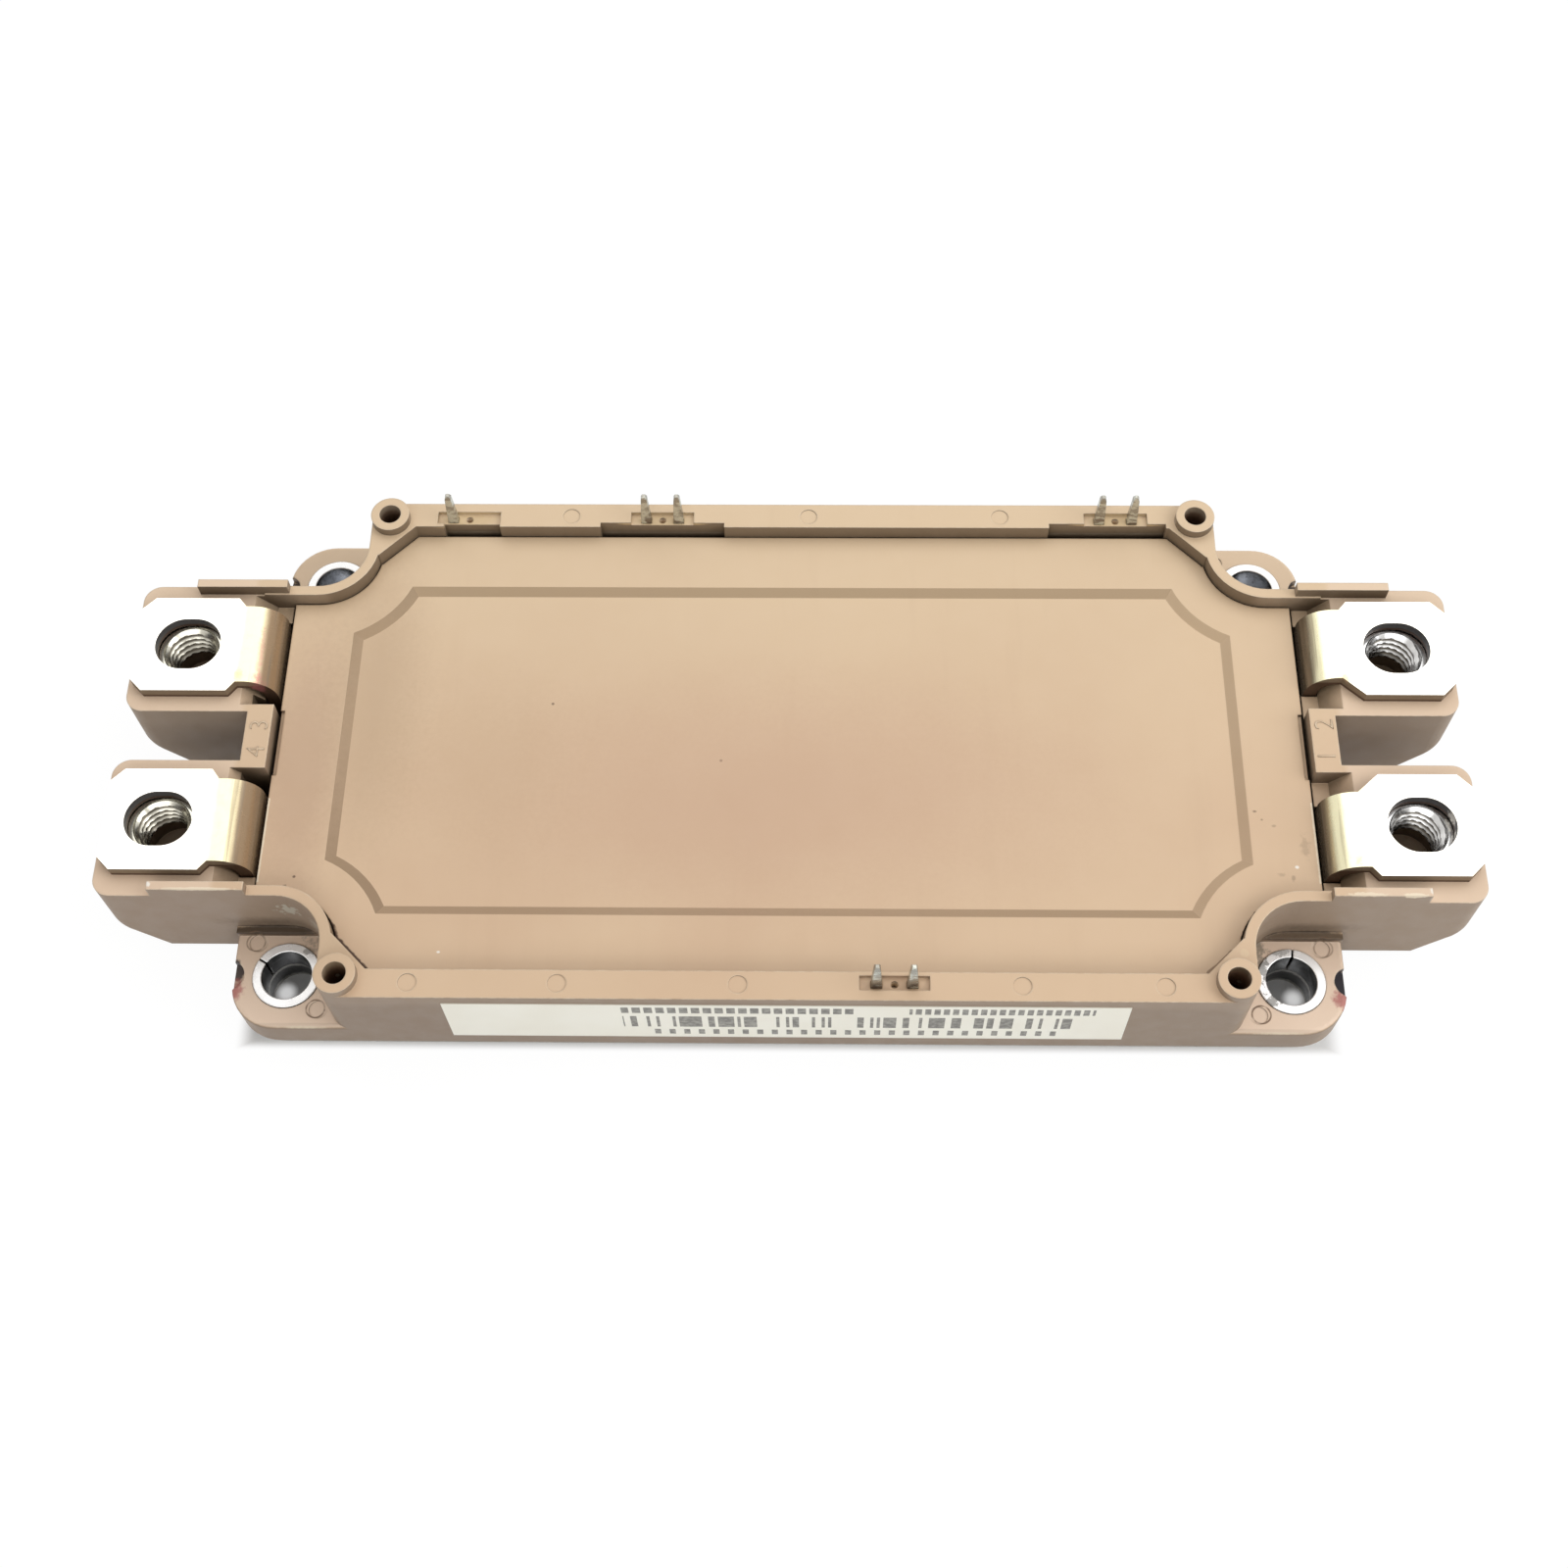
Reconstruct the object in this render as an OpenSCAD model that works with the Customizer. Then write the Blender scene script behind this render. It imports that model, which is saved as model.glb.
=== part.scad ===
// Dual-switch power semiconductor module with screw terminals at both ends.
// +X runs along the length, +Y across it and +Z up, away from the cooling surface.
// The origin is in the middle of the cooling surface. Sizes are in millimetres.

/* [Case] */
// Length over the terminal blocks at both ends
overall_l = 150; // [148:0.5:156]
// How far the terminal blocks reach out beyond the feet
block_reach = 14; // [13.2:0.1:15]
// Width of the case
case_w = 62; // [61:0.5:66]
// Height of the rim round the lid
rim_h = 15.8; // [15.2:0.1:16.4]
// Height of the lower edge of the moulding
skirt_z = 2.4; // [1.6:0.1:2.8]
// Width of the rails along the long sides
rail_w = 3.2; // [2.8:0.1:3.6]
// Thickness of the rim wall round the fixing recesses
rim_t = 1.2; // [1:0.1:1.6]
// Radius of the upright corners of the high part of the case
case_corner_r = 2.25; // [1:0.05:2.6]

/* [Feet] */
// Height of the top of the feet
foot_h = 6.4; // [5.6:0.1:7.4]
// Radius of the upright corners of the feet
foot_corner_r = 5.3; // [3:0.1:6]
// Rounding of the upper edge of the feet
foot_edge_r = 0.5; // [0.2:0.1:0.8]
// Radius of the scallop in the outer side of each foot
scallop_r = 1.7; // [1:0.1:2]
// Depth of the scallop below the top of the foot
scallop_depth = 1.2; // [0.6:0.1:1.6]
// Width and height of the step where the recess wall meets the foot
recess_step = 0.8; // [0.4:0.1:1]

/* [Fixing holes] */
// Distance of the fixing holes from the ends and sides of the feet
hole_inset = 6; // [5.5:0.1:6.5]
// Radius of the recess that clears the screw head
recess_r = 5.5; // [5.2:0.1:5.8]
// Bore of the bushes and of the holes in the base plate
bush_bore = 5.5; // [5:0.1:6]
// Outer diameter of the bushes
bush_d = 7.5; // [7:0.1:8]
// How far the bushes stand above the feet
bush_rise = 0.2; // [0.1:0.05:0.5]
// Width of the seam where each bush is rolled shut
bush_seam = 0.15; // [0.1:0.05:0.3]

/* [Board screws] */
// Distance of the board-screw bosses from the fixing holes along the length
boss_from_hole = 7.75; // [7.4:0.05:8.2]
// Distance of the board-screw bosses from the sides of the case
boss_inset = 2.25; // [2:0.05:2.6]
// Diameter of the bosses
boss_d = 4.5; // [4:0.1:4.6]
// How far the bosses stand above the rim
boss_rise = 1.2; // [0.8:0.1:2.2]
// Bore for the board screws
screw_bore = 2.5; // [2:0.1:3]
// Depth of the board-screw bores
screw_depth = 10; // [6:0.5:11]

/* [Lid] */
// Thickness of the lid
lid_t = 2; // [1.6:0.1:2.4]
// Depth of the lid's border below the rim
lid_drop = 2; // [1.4:0.1:2.6]
// Gap between the lid and the rim
lid_gap = 0.15; // [0.1:0.05:0.3]
// Gap between the end of the lid and the bridging bar
lid_end_gap = 0.4; // [0.2:0.05:0.5]
// Width of the ledge that carries the lid
lid_seat_w = 1.6; // [1.2:0.1:2]
// Distance of the recessed panel from the ends of the lid
panel_end = 7.15; // [6:0.05:12]
// Distance of the recessed panel from the sides of the lid
panel_side = 6.95; // [5.5:0.05:10]
// Radius of the hollow corners of the recessed panel, about the fixing holes
panel_corner_r = 11.5; // [10:0.1:14]
// Depth of the recessed panel
panel_drop = 0.5; // [0.3:0.05:0.8]
// Width of the sloped band round the recessed panel
panel_band = 1.1; // [0.6:0.05:1.6]
// Length of the shallow step in each end of the lid
lid_step_l = 8.2; // [6:0.2:10]
// Width and depth of the shallow step in each end of the lid
lid_step = 0.45; // [0.3:0.05:0.8]
// Height of the locating rib under the lid
lid_rib_h = 1.6; // [1:0.1:2]
// Thickness of the locating rib under the lid
lid_rib_t = 1.2; // [0.8:0.1:1.6]

/* [Power terminals] */
// Distance of the terminal screws from the ends of the blocks
term_inset = 6.5; // [6.2:0.1:7]
// How far the contact faces of the terminals lie above the rim
term_rise = 1.2; // [0.9:0.1:2]
// Thickness of the terminal plate
term_t = 1.5; // [1.2:0.1:1.7]
// Gap between the pads and the barrier walls
pad_out_gap = 1.45; // [1.2:0.05:2]
// Distance of the pads from the inner sides of the blocks
pad_in_gap = 1.85; // [1.2:0.05:2.4]
// Distance from the terminal screw to the outer end of the pad
pad_reach = 6; // [5:0.1:6.2]
// Chamfer on the outer corners of the pads
pad_chamfer = 1.5; // [0.5:0.1:2]
// Width of the oblong screw hole in the pad
term_hole_w = 6.5; // [6.3:0.1:6.8]
// Length of the oblong screw hole in the pad
term_hole_l = 7.5; // [7:0.1:8]
// Distance of the inner faces of the terminal legs from the ends of the case
leg_inset = 2.7; // [2.5:0.05:3]
// Inner radius of the upper bend
bend_r = 2; // [1.4:0.1:2.2]
// How far the outer edge of the neck is set in from that of the pad
neck_out = 1.05; // [0.8:0.05:1.5]
// The same for the inner edge of the left necks
neck_in_left = 1.15; // [0.9:0.05:1.6]
// The same for the inner edge of the right necks
neck_in_right = 2.15; // [1.5:0.05:2.4]
// Width of the foot that is joined to the substrate
sole_w = 4.4; // [3.6:0.1:5]
// Length of that foot on the substrate
sole_l = 3.6; // [2.5:0.1:4]

/* [Terminal blocks] */
// Gap between the two terminal blocks at each end
block_gap = 6.2; // [5.4:0.1:7]
// Radius of the outer upright corners of the blocks
block_corner_r = 2; // [1:0.1:2.4]
// How far the underside of the blocks lies below the lower edge of the case
block_drop = 0.4; // [0:0.1:0.8]
// Height of the bevel under the outer end of the blocks
bevel_h = 6.8; // [4:0.1:7]
// Length of that bevel
bevel_l = 5.3; // [4:0.1:7]
// Radius of the edge between the bevel and the end of the block
nose_r = 2; // [1:0.1:3]
// Width of the bridging bar between the blocks
bar_w = 8; // [7:0.1:8.4]
// Thickness of the barrier walls
barrier_t = 1; // [0.8:0.1:1.2]
// How far the barrier walls stand above the contact faces
barrier_rise = 0.2; // [0:0.1:1]
// Depth of the ledges beside the terminal legs below the blocks' upper face
ledge_drop = 2.6; // [2.1:0.1:3]
// Width across the flats of the nuts
nut_af = 10; // [9.8:0.1:10.2]
// Height of the nuts
nut_h = 5; // [4.6:0.1:5.2]
// Thread diameter of the nuts, taken at the tips of the thread
nut_bore = 5; // [4.8:0.1:5.4]
// Depth of the nuts below the terminal plate
nut_drop = 0.2; // [0.1:0.05:0.4]
// Depth of the screw space below the nuts
screw_space = 2.8; // [1.5:0.1:3]

/* [Control pins] */
// Grid of the control pins
pin_grid = 3.81; // [3.5:0.01:4]
// Distance of the pin rows from the sides of the case
pin_inset = 1.95; // [1.7:0.05:2.1]
// How far the pins stand above the rails
pin_rise = 4.7; // [3.2:0.1:6.2]
// Width of a pin
pin_w = 1.15; // [0.8:0.05:1.3]
// Thickness of a pin
pin_t = 0.8; // [0.6:0.05:0.9]
// Length of the pocket at the foot of each pair of pins
pin_pocket_l = 7.4; // [6:0.1:8]
// Width of that pocket
pin_pocket_w = 1.6; // [1.3:0.1:1.8]
// Depth of that pocket
pin_pocket_d = 0.5; // [0.2:0.1:0.8]
// Height of the shelf inside the case that carries the pin feet
shelf_h = 7.5; // [6.8:0.1:7.8]
// Width of that shelf
shelf_w = 2.4; // [2.2:0.1:2.8]

/* [Base plate and substrates] */
// Thickness of the base plate
base_t = 3; // [2.9:0.1:3.4]
// How far the edge of the base plate lies inside the edge of the feet
base_margin = 0.8; // [0.5:0.1:1.2]
// Distance of the outer substrates from the recesses of the fixing screws
sub_wall = 2.5; // [2:0.1:3.5]
// Distance of the substrates from the shelves of the pins
sub_side = 2.8; // [2:0.1:3.5]
// Gap between the substrates
sub_gap = 2; // [1.6:0.1:2.6]
// Thickness of the copper on each side of the ceramic
copper_t = 0.3; // [0.2:0.05:0.4]
// Thickness of the ceramic
ceramic_t = 0.4; // [0.3:0.05:0.7]
// Bare ceramic round the copper
ceramic_edge = 0.7; // [0.5:0.1:1]
// Edge of a square IGBT chip
igbt_s = 10.5; // [9:0.25:11]
// Width of a diode chip
diode_w = 6.5; // [5:0.25:7]
// Thickness of the chips
chip_t = 0.2; // [0.15:0.05:0.4]
// Diameter of the bond wires
wire_d = 0.4; // [0.2:0.05:0.5]
// Distance of the silicone gel from the rib below the lid
gel_gap = 1; // [0.6:0.1:1.8]

/* [Label] */
// Length of the label
label_l = 72.6; // [60:0.5:80]
// Height of the label
label_h = 9.5; // [6:0.1:10]
// Height of the lower edge of the label
label_z = 4.7; // [3.5:0.1:5.2]
// Thickness of the label
label_t = 0.1; // [0.05:0.05:0.2]

/* [Hidden] */
$fn = 64;
eps = 0.01;
far = 200;

plastic = [0.76, 0.65, 0.53];
steel = [0.78, 0.79, 0.80];
tinned = [0.80, 0.78, 0.72];
nickel = [0.72, 0.72, 0.70];
copper = [0.85, 0.50, 0.32];
ceramic = [0.93, 0.93, 0.90];
silicon = [0.30, 0.31, 0.34];
aluminium = [0.85, 0.86, 0.87];
paper = [0.92, 0.90, 0.85];
gel_blue = [0.75, 0.82, 0.90, 0.4];
glass = [0.35, 0.45, 0.40];

// Clearances
leg_gap = 0.6;
slot_gap = 0.15;
pin_fit = 0.03;
nut_fit = 0.1;
bush_fit = 0.02;
base_fit = 0.1;
rib_gap = 0.2;
boss_web = 0.5;

// Small moulded details
ledge_web = 0.2;
side_pocket_z = 8;
foot_window_gap = 0.2;
screw_clear_d = 6.6;
thread_chamfer = 0.6;
mark_d = 2;
mark_depth = 0.1;
spare_hole_d = 0.8;
spare_hole_depth = 1.5;
rail_slot_d = 0.6;
scallop_out = 0.4;
neck_step_x = 0.7;
neck_step_l = 0.9;
neck_taper_l = 2.4;
sole_bend_r = 0.6;
sole_shift = 1.2;
sole_taper_l = 0.8;
pin_tip_w = 0.4;
pin_shoulder_w = 0.7;
pin_point_l = 0.5;
pin_taper_rise = 0.4;
pin_foot_l = 1.8;

// Positions that several pieces share
case_l = overall_l - 2 * block_reach;
end_x = overall_l / 2;
case_x = case_l / 2;
case_y = case_w / 2;
hole_x = case_x - hole_inset;
hole_y = case_y - hole_inset;
boss_x = hole_x - boss_from_hole;
boss_y = case_y - boss_inset;
pin_row_y = case_y - pin_inset;
wall_y = hole_y - recess_r;
rim_y = wall_y - rim_t;
leg_x = case_x - leg_inset;
term_x = end_x - term_inset;
pad_y0 = block_gap / 2 + pad_in_gap;
pad_y1 = wall_y - barrier_t - pad_out_gap;
term_y = (pad_y0 + pad_y1) / 2;
leg_out = leg_x + term_t;
lid_x = leg_x - leg_gap;
pocket_x = lid_x + lid_end_gap;
pocket_y = case_y - rail_w;
cavity_y = pocket_y - lid_seat_w;
web_sum = boss_x + boss_y - (boss_d / 2 + boss_web) * sqrt(2);
panel_l = 2 * (lid_x - panel_end);
panel_w = 2 * (pocket_y - lid_gap - panel_side);
boss_h = rim_h + boss_rise;
term_h = rim_h + term_rise;
barrier_h = term_h + barrier_rise;
pin_tip_h = rim_h + pin_rise;
lid_top = rim_h - lid_drop;
lid_seat_z = lid_top - lid_t;
gel_h = lid_seat_z - lid_rib_h - gel_gap;
deck_h = term_h - term_t;
ledge_z = deck_h - ledge_drop;
bend_x = leg_out + bend_r;
bend_z = deck_h - bend_r;
nut_floor = deck_h - nut_drop - nut_h;
track_z = base_t + copper_t + ceramic_t;
top_z = track_z + copper_t;
sub_l = (2 * (hole_x - recess_r - sub_wall) - 2 * sub_gap) / 3;
sub_w = 2 * (cavity_y - shelf_w - sub_side);
sub_pitch = sub_l + sub_gap;
track_l = sub_l - 2 * ceramic_edge;
track_w = sub_w - 2 * ceramic_edge;
sole_end = sub_pitch + track_l / 2 - sole_l;
sole_bend_x = leg_x - sole_bend_r;
sole_bend_z = top_z + term_t + sole_bend_r;

// Corners and sides, in the order of their names
corner_names = ["front_left", "front_right", "rear_left", "rear_right"];
corner_x = [-1, 1, -1, 1];
corner_y = [-1, -1, 1, 1];
seam_angle = [150, 83, 210, 277];
cells = ["left", "middle", "right"];

// The outer pins stand on the last grid steps before the bosses
pin_end_gap = 7;
end_step = floor((boss_x - pin_end_gap) / pin_grid);

// Each pair of pin places, in grid steps: X, side, places used, recess offset and length
pin_sets = [
    [-end_step, 1, [-0.5], 0.1, 1.73],
    [-4, 1, [-0.5, 0.5], 0, 3.83],
    [end_step, 1, [-0.5, 0.5], -0.26, 3.6],
    [3, -1, [-0.5, 0.5], 0, 0]
];
pins = [for (s = pin_sets) for (k = s[2]) [(s[0] + k) * pin_grid, s[1]]];

// Ejector marks on the rails, as X and side
end_mark = boss_x - 7.5;
rail_marks = [
    [-end_mark, -1], [-24, -1], [-5, -1], [24.8, -1], [end_mark, -1], [-26, 1], [2, 1], [24.5, 1]
];
rail_mark_y = case_y - 1.7;
foot_marks = [[-3.9, 3.9], [3.6, -3.8]];

// Tracks across a substrate: signal strip, positive, output and negative lanes, signal strip
strip_w = 2.6;
strip_gap = 0.6;
lane_gap = 0.8;
supply_lane_w = 12;
output_lane_w = 13.2;
output_column = 4.6;
lane_end_y = track_w / 2 - strip_w - strip_gap;
plus_y0 = lane_end_y - supply_lane_w;
out_y1 = plus_y0 - lane_gap;
out_y0 = out_y1 - output_lane_w;
minus_y1 = out_y0 - lane_gap;
minus_y = (minus_y1 - lane_end_y) / 2;

// Places of the chips on their lanes
chip_margin = 0.4;
chip_gap = 1;
chip_end = 2.3;
upper_y = plus_y0 + supply_lane_w / 2;
lower_y = out_y0 + chip_margin + igbt_s / 2;
igbt_x = -track_l / 2 + chip_end + igbt_s / 2;
diode_x = igbt_x + igbt_s / 2 + chip_gap + diode_w / 2;

// Temperature sensor and the pads below its end caps
sensor_x = 12;
sensor_y = -track_w / 2 + 1.9;
sensor_d = 1.4;
sensor_l = 3.4;
sensor_cap_l = 0.7;
sensor_cap_rise = 0.2;
sensor_pad_l = 1.6;
sensor_pad_x = sensor_l / 2 - 0.3;
signal_pad_l = 2.4;

// Bond wires: rise of the arch, distance between wires, and where they land
wire_rise = 2.4;
wire_step = 2.4;
diode_wire_step = 2;
link_step = (minus_y1 + lane_end_y) / 3;
wire_land = 2;
lane_land = 0.9;
link_land = 1.2;
signal_rise = 1.5;
signal_land = 0.5;
pin_land = 1;
gel_box_margin = 1;
gel_cover = 0.4;
sub_room = 0.4;

// Repeats its children at all four corners of the case
module four() {
    for (mx = [0, 1], my = [0, 1]) {
        mirror([mx, 0, 0]) mirror([0, my, 0]) children();
    }
}

// Places its children, drawn for the rear right corner, at corner i
module at_corner(i) {
    mirror([corner_x[i] < 0 ? 1 : 0, 0, 0]) mirror([0, corner_y[i] < 0 ? 1 : 0, 0]) children();
}

// Box given by its lowest and highest corners
module span(low, high) {
    translate(low) cube(high - low);
}

// Extrudes an outline drawn in X and Z along Y, from y0 to y1
module along_y(y0, y1) {
    translate([0, y1, 0]) rotate([90, 0, 0]) linear_extrude(y1 - y0) children();
}

// Extrudes an outline drawn in Y and Z along X, from x0 to x1
module along_x(x0, x1) {
    translate([x0, 0, 0]) rotate([90, 0, 90]) linear_extrude(x1 - x0) children();
}

// Rectangle about the origin with round corners
module rounded_plan(l, w, r) {
    difference() {
        square([l, w], center = true);
        four() edge_cut(l / 2 - r, w / 2 - r, r);
    }
}

// Slab from z0 to z1 with round upright corners and a rounded upper edge
module soft_slab(l, w, r, z0, z1, edge) {
    difference() {
        translate([0, 0, z0]) linear_extrude(z1 - z0) rounded_plan(l, w, r);
        four() {
            along_x(-eps, l / 2 - r) edge_cut(w / 2 - edge, z1 - edge, edge);
            along_y(-eps, w / 2 - r) edge_cut(l / 2 - edge, z1 - edge, edge);
            translate([l / 2 - r, w / 2 - r, 0]) {
                rotate_extrude(angle = 90) edge_cut(r - edge, z1 - edge, edge);
            }
        }
    }
}

// What a rounding of radius r takes off an outer corner, centred on a and b
module edge_cut(a, b, r) {
    difference() {
        translate([a, b]) square(r + 1);
        translate([a, b]) circle(r);
    }
}

// Outline of the hollow that clears a fixing screw, in the rear right corner
module recess_plan(r) {
    translate([hole_x, hole_y]) circle(r);
    translate([hole_x - r, hole_y]) square(far);
    translate([hole_x, hole_y - r]) square(far);
}

// What the rim takes off the corner of the lid: the recess wall and the web to the boss
module corner_web(inset) {
    r = recess_r + rim_t + inset;
    c = web_sum - inset * sqrt(2);
    translate([hole_x, hole_y]) circle(r);
    translate([hole_x, hole_y - r]) square(far);
    polygon([[c - far, far], [hole_x - r, c - hole_x + r], [hole_x, hole_y], [hole_x, far]]);
}

// Outline of the lid pocket, drawn in by a margin all round
module seat_plan(inset) {
    difference() {
        square([2 * (pocket_x - inset), 2 * (pocket_y - inset)], center = true);
        four() corner_web(inset);
    }
}

// Outline of the high part of the case
module tower_plan() {
    difference() {
        square([case_l, case_w], center = true);
        four() {
            recess_plan(recess_r);
            edge_cut(hole_x - recess_r - case_corner_r, case_y - case_corner_r, case_corner_r);
        }
    }
}

// Outline of a terminal block, round at its outer corners
module block_plan() {
    r = block_corner_r;
    half_w = (wall_y - block_gap / 2) / 2;
    translate([0, wall_y - half_w]) difference() {
        translate([pocket_x + eps, -half_w]) square([end_x - pocket_x - eps, 2 * half_w]);
        for (m = [0, 1]) mirror([0, m]) edge_cut(end_x - r, half_w - r, r);
    }
}

// What the bevel and its rounded upper edge take off a block, in X and Z
module bevel_cut(low) {
    slope = atan2(bevel_h, bevel_l);
    reach = nose_r * tan((90 - slope) / 2);
    top = low + bevel_h;
    difference() {
        polygon([
            [end_x - bevel_l, low], [end_x - reach * cos(slope), top - reach * sin(slope)],
            [end_x, top + reach], [end_x + 1, top + reach],
            [end_x + 1, low - 1], [end_x - bevel_l, low - 1]
        ]);
        translate([end_x - nose_r, top + reach]) circle(nose_r);
    }
}

// Terminal block: an upright prism with a bevel below its outer end
module block() {
    low = skirt_z - block_drop;
    difference() {
        translate([0, 0, low]) linear_extrude(deck_h - low) block_plan();
        along_y(0, case_y) bevel_cut(low);
    }
}

// Inner edge of the neck of a terminal on side s, left below zero
function neck_in(s) = pad_y0 + (s < 0 ? neck_in_left : neck_in_right);

// Room for one terminal leg, its shoulder ledges and its foot, on side s
module leg_room(s) {
    neck_y0 = neck_in(s) - slot_gap;
    neck_y1 = pad_y1 - neck_out + slot_gap;
    window_x = pocket_x - lid_seat_w - 1;
    along_y(bar_w / 2, rim_y) polygon([
        [pocket_x, ledge_z], [leg_out + slot_gap, ledge_z], [bend_x + ledge_web, deck_h],
        [bend_x + ledge_web, far], [pocket_x, far]
    ]);
    span([pocket_x, neck_y0, top_z - foot_window_gap], [leg_out + slot_gap, neck_y1, far]);
    span([window_x, neck_y0, top_z - foot_window_gap],
         [leg_out + slot_gap, neck_y1, top_z + term_t + foot_window_gap]);
    if (s < 0) span([pocket_x, bar_w / 2, side_pocket_z], [case_x, neck_y0 + eps, far]);
}

// Pocket for a nut and the space for the end of its screw
module nut_room() {
    translate([term_x, term_y, nut_floor]) {
        cylinder(h = far, d = (nut_af + 2 * nut_fit) / cos(30), $fn = 6);
        translate([0, 0, -screw_space]) cylinder(h = screw_space + 1, d = screw_clear_d);
    }
}

// Channel for pin p and the room for its foot on the shelf
module pin_room(p) {
    w = pin_w / 2 + pin_fit;
    y1 = pin_row_y + pin_t / 2 + pin_fit;
    translate([p[0], 0, 0]) mirror([0, p[1] < 0 ? 1 : 0, 0]) {
        span([-w, y1 - pin_t - 2 * pin_fit, shelf_h], [w, y1, far]);
        span([-w, cavity_y - 1, shelf_h], [w, y1, shelf_h + pin_t + pin_fit]);
    }
}

// Pocket and spare hole on the rail between the two places of pin set s
module set_pocket(s) {
    translate([s[0] * pin_grid, s[1] * pin_row_y, rim_h - pin_pocket_d]) {
        translate([-pin_pocket_l / 2, -pin_pocket_w / 2, 0]) cube([pin_pocket_l, pin_pocket_w, far]);
        translate([0, 0, -spare_hole_depth]) cylinder(h = far, d = spare_hole_d);
    }
    half = s[4] * pin_grid / 2;
    if (half > 0) translate([(s[0] + s[3]) * pin_grid, 0, 0]) {
        span([-half, pocket_y - 1, lid_seat_z], [half, pocket_y + rail_slot_d, far]);
    }
}

// One-piece moulding: feet, rails, rim, bosses, terminal blocks, bars and barriers
module case_frame() {
    color(plastic) difference() {
        union() {
            difference() {
                soft_slab(case_l, case_w, foot_corner_r, skirt_z, foot_h, foot_edge_r);
                four() translate([case_x + scallop_out, hole_y, foot_h - scallop_depth]) {
                    cylinder(h = far, r = scallop_r);
                }
            }
            difference() {
                translate([0, 0, skirt_z]) linear_extrude(rim_h - skirt_z) tower_plan();
                span([-far, -rim_y, deck_h], [-pocket_x, rim_y, far]);
                span([pocket_x, -rim_y, deck_h], [far, rim_y, far]);
            }
            four() {
                translate([boss_x, boss_y, skirt_z]) cylinder(h = boss_h - skirt_z, d = boss_d);
                span([hole_x - recess_r, rim_y, skirt_z],
                     [case_x, wall_y + recess_step, foot_h + recess_step]);
                block();
                span([pocket_x, wall_y - barrier_t, deck_h - 1], [term_x, wall_y, barrier_h]);
            }
        }
        translate([0, 0, lid_seat_z]) linear_extrude(far) seat_plan(0);
        translate([0, 0, shelf_h]) linear_extrude(far) seat_plan(lid_seat_w);
        linear_extrude(far) intersection() {
            seat_plan(lid_seat_w);
            square([case_l, 2 * (cavity_y - shelf_w)], center = true);
        }
        linear_extrude(top_z + sub_room) square([
            2 * (sub_pitch + sub_l / 2 + sub_room), sub_w + 2 * sub_room
        ], center = true);
        translate([0, 0, -1]) linear_extrude(base_t + 1) {
            base_outline(base_fit);
        }
        four() {
            translate([hole_x, hole_y, 0]) cylinder(h = foot_h + 1, d = bush_d + 2 * bush_fit);
            translate([boss_x, boss_y, boss_h - screw_depth]) cylinder(h = far, d = screw_bore);
            nut_room();
            for (m = foot_marks) translate([hole_x + m[0], hole_y + m[1], foot_h - mark_depth]) {
                cylinder(h = 1, d = mark_d);
            }
        }
        for (i = [0 : 3]) at_corner(i) leg_room(corner_x[i]);
        for (p = pins) pin_room(p);
        for (s = pin_sets) set_pocket(s);
        for (m = rail_marks) translate([m[0], m[1] * rail_mark_y, rim_h - mark_depth]) {
            cylinder(h = 1, d = mark_d);
        }
    }
}

// What the sloped band and the floor of the lid's panel take away
module panel_room() {
    low = lid_top - panel_drop;
    slope = panel_band / panel_drop;
    up = 1;
    half_l = panel_l / 2;
    half_w = panel_w / 2;
    difference() {
        intersection() {
            along_y(-far, far) polygon([
                [-half_l + panel_band, low], [half_l - panel_band, low],
                [half_l + slope * up, lid_top + up], [-half_l - slope * up, lid_top + up]
            ]);
            along_x(-far, far) polygon([
                [-half_w + panel_band, low], [half_w - panel_band, low],
                [half_w + slope * up, lid_top + up], [-half_w - slope * up, lid_top + up]
            ]);
        }
        four() translate([hole_x, hole_y, low]) {
            cylinder(h = panel_drop + up, r1 = panel_corner_r + panel_band,
                     r2 = panel_corner_r - slope * up);
        }
    }
}

// Moulded lid with a recessed panel and a locating rib below
module lid() {
    rib_inset = lid_seat_w + rib_gap;
    color(plastic) {
        difference() {
            translate([0, 0, lid_seat_z]) linear_extrude(lid_t) intersection() {
                seat_plan(lid_gap);
                square([2 * lid_x, case_w], center = true);
            }
            panel_room();
            for (s = [-1, 1]) translate([s * lid_x, 0, lid_top]) {
                cube([2 * lid_step, lid_step_l, 2 * lid_step], center = true);
            }
        }
        translate([0, 0, lid_seat_z - lid_rib_h]) linear_extrude(lid_rib_h + eps) difference() {
            seat_plan(rib_inset);
            seat_plan(rib_inset + lid_rib_t);
        }
    }
}

// Outline of the base plate, grown by a clearance
module base_outline(grow) {
    rounded_plan(case_l - 2 * (base_margin - grow), case_w - 2 * (base_margin - grow),
                 foot_corner_r - base_margin + grow);
}

module base_plate() {
    color(nickel) difference() {
        linear_extrude(base_t) base_outline(0);
        four() translate([hole_x, hole_y, -1]) cylinder(h = base_t + 2, d = bush_bore);
    }
}

module label() {
    color(paper) span([-label_l / 2, -case_y - label_t, label_z],
                      [label_l / 2, -case_y, label_z + label_h]);
}

// Bush at corner i, rolled from strip and standing on the base plate
module bush(i) {
    h = foot_h + bush_rise - base_t;
    color(steel) translate([corner_x[i] * hole_x, corner_y[i] * hole_y, base_t]) difference() {
        cylinder(h = h, d = bush_d);
        translate([0, 0, -1]) cylinder(h = h + 2, d = bush_bore);
        rotate(seam_angle[i]) translate([0, -bush_seam / 2, -1]) cube([bush_d, bush_seam, h + 2]);
    }
}

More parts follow.
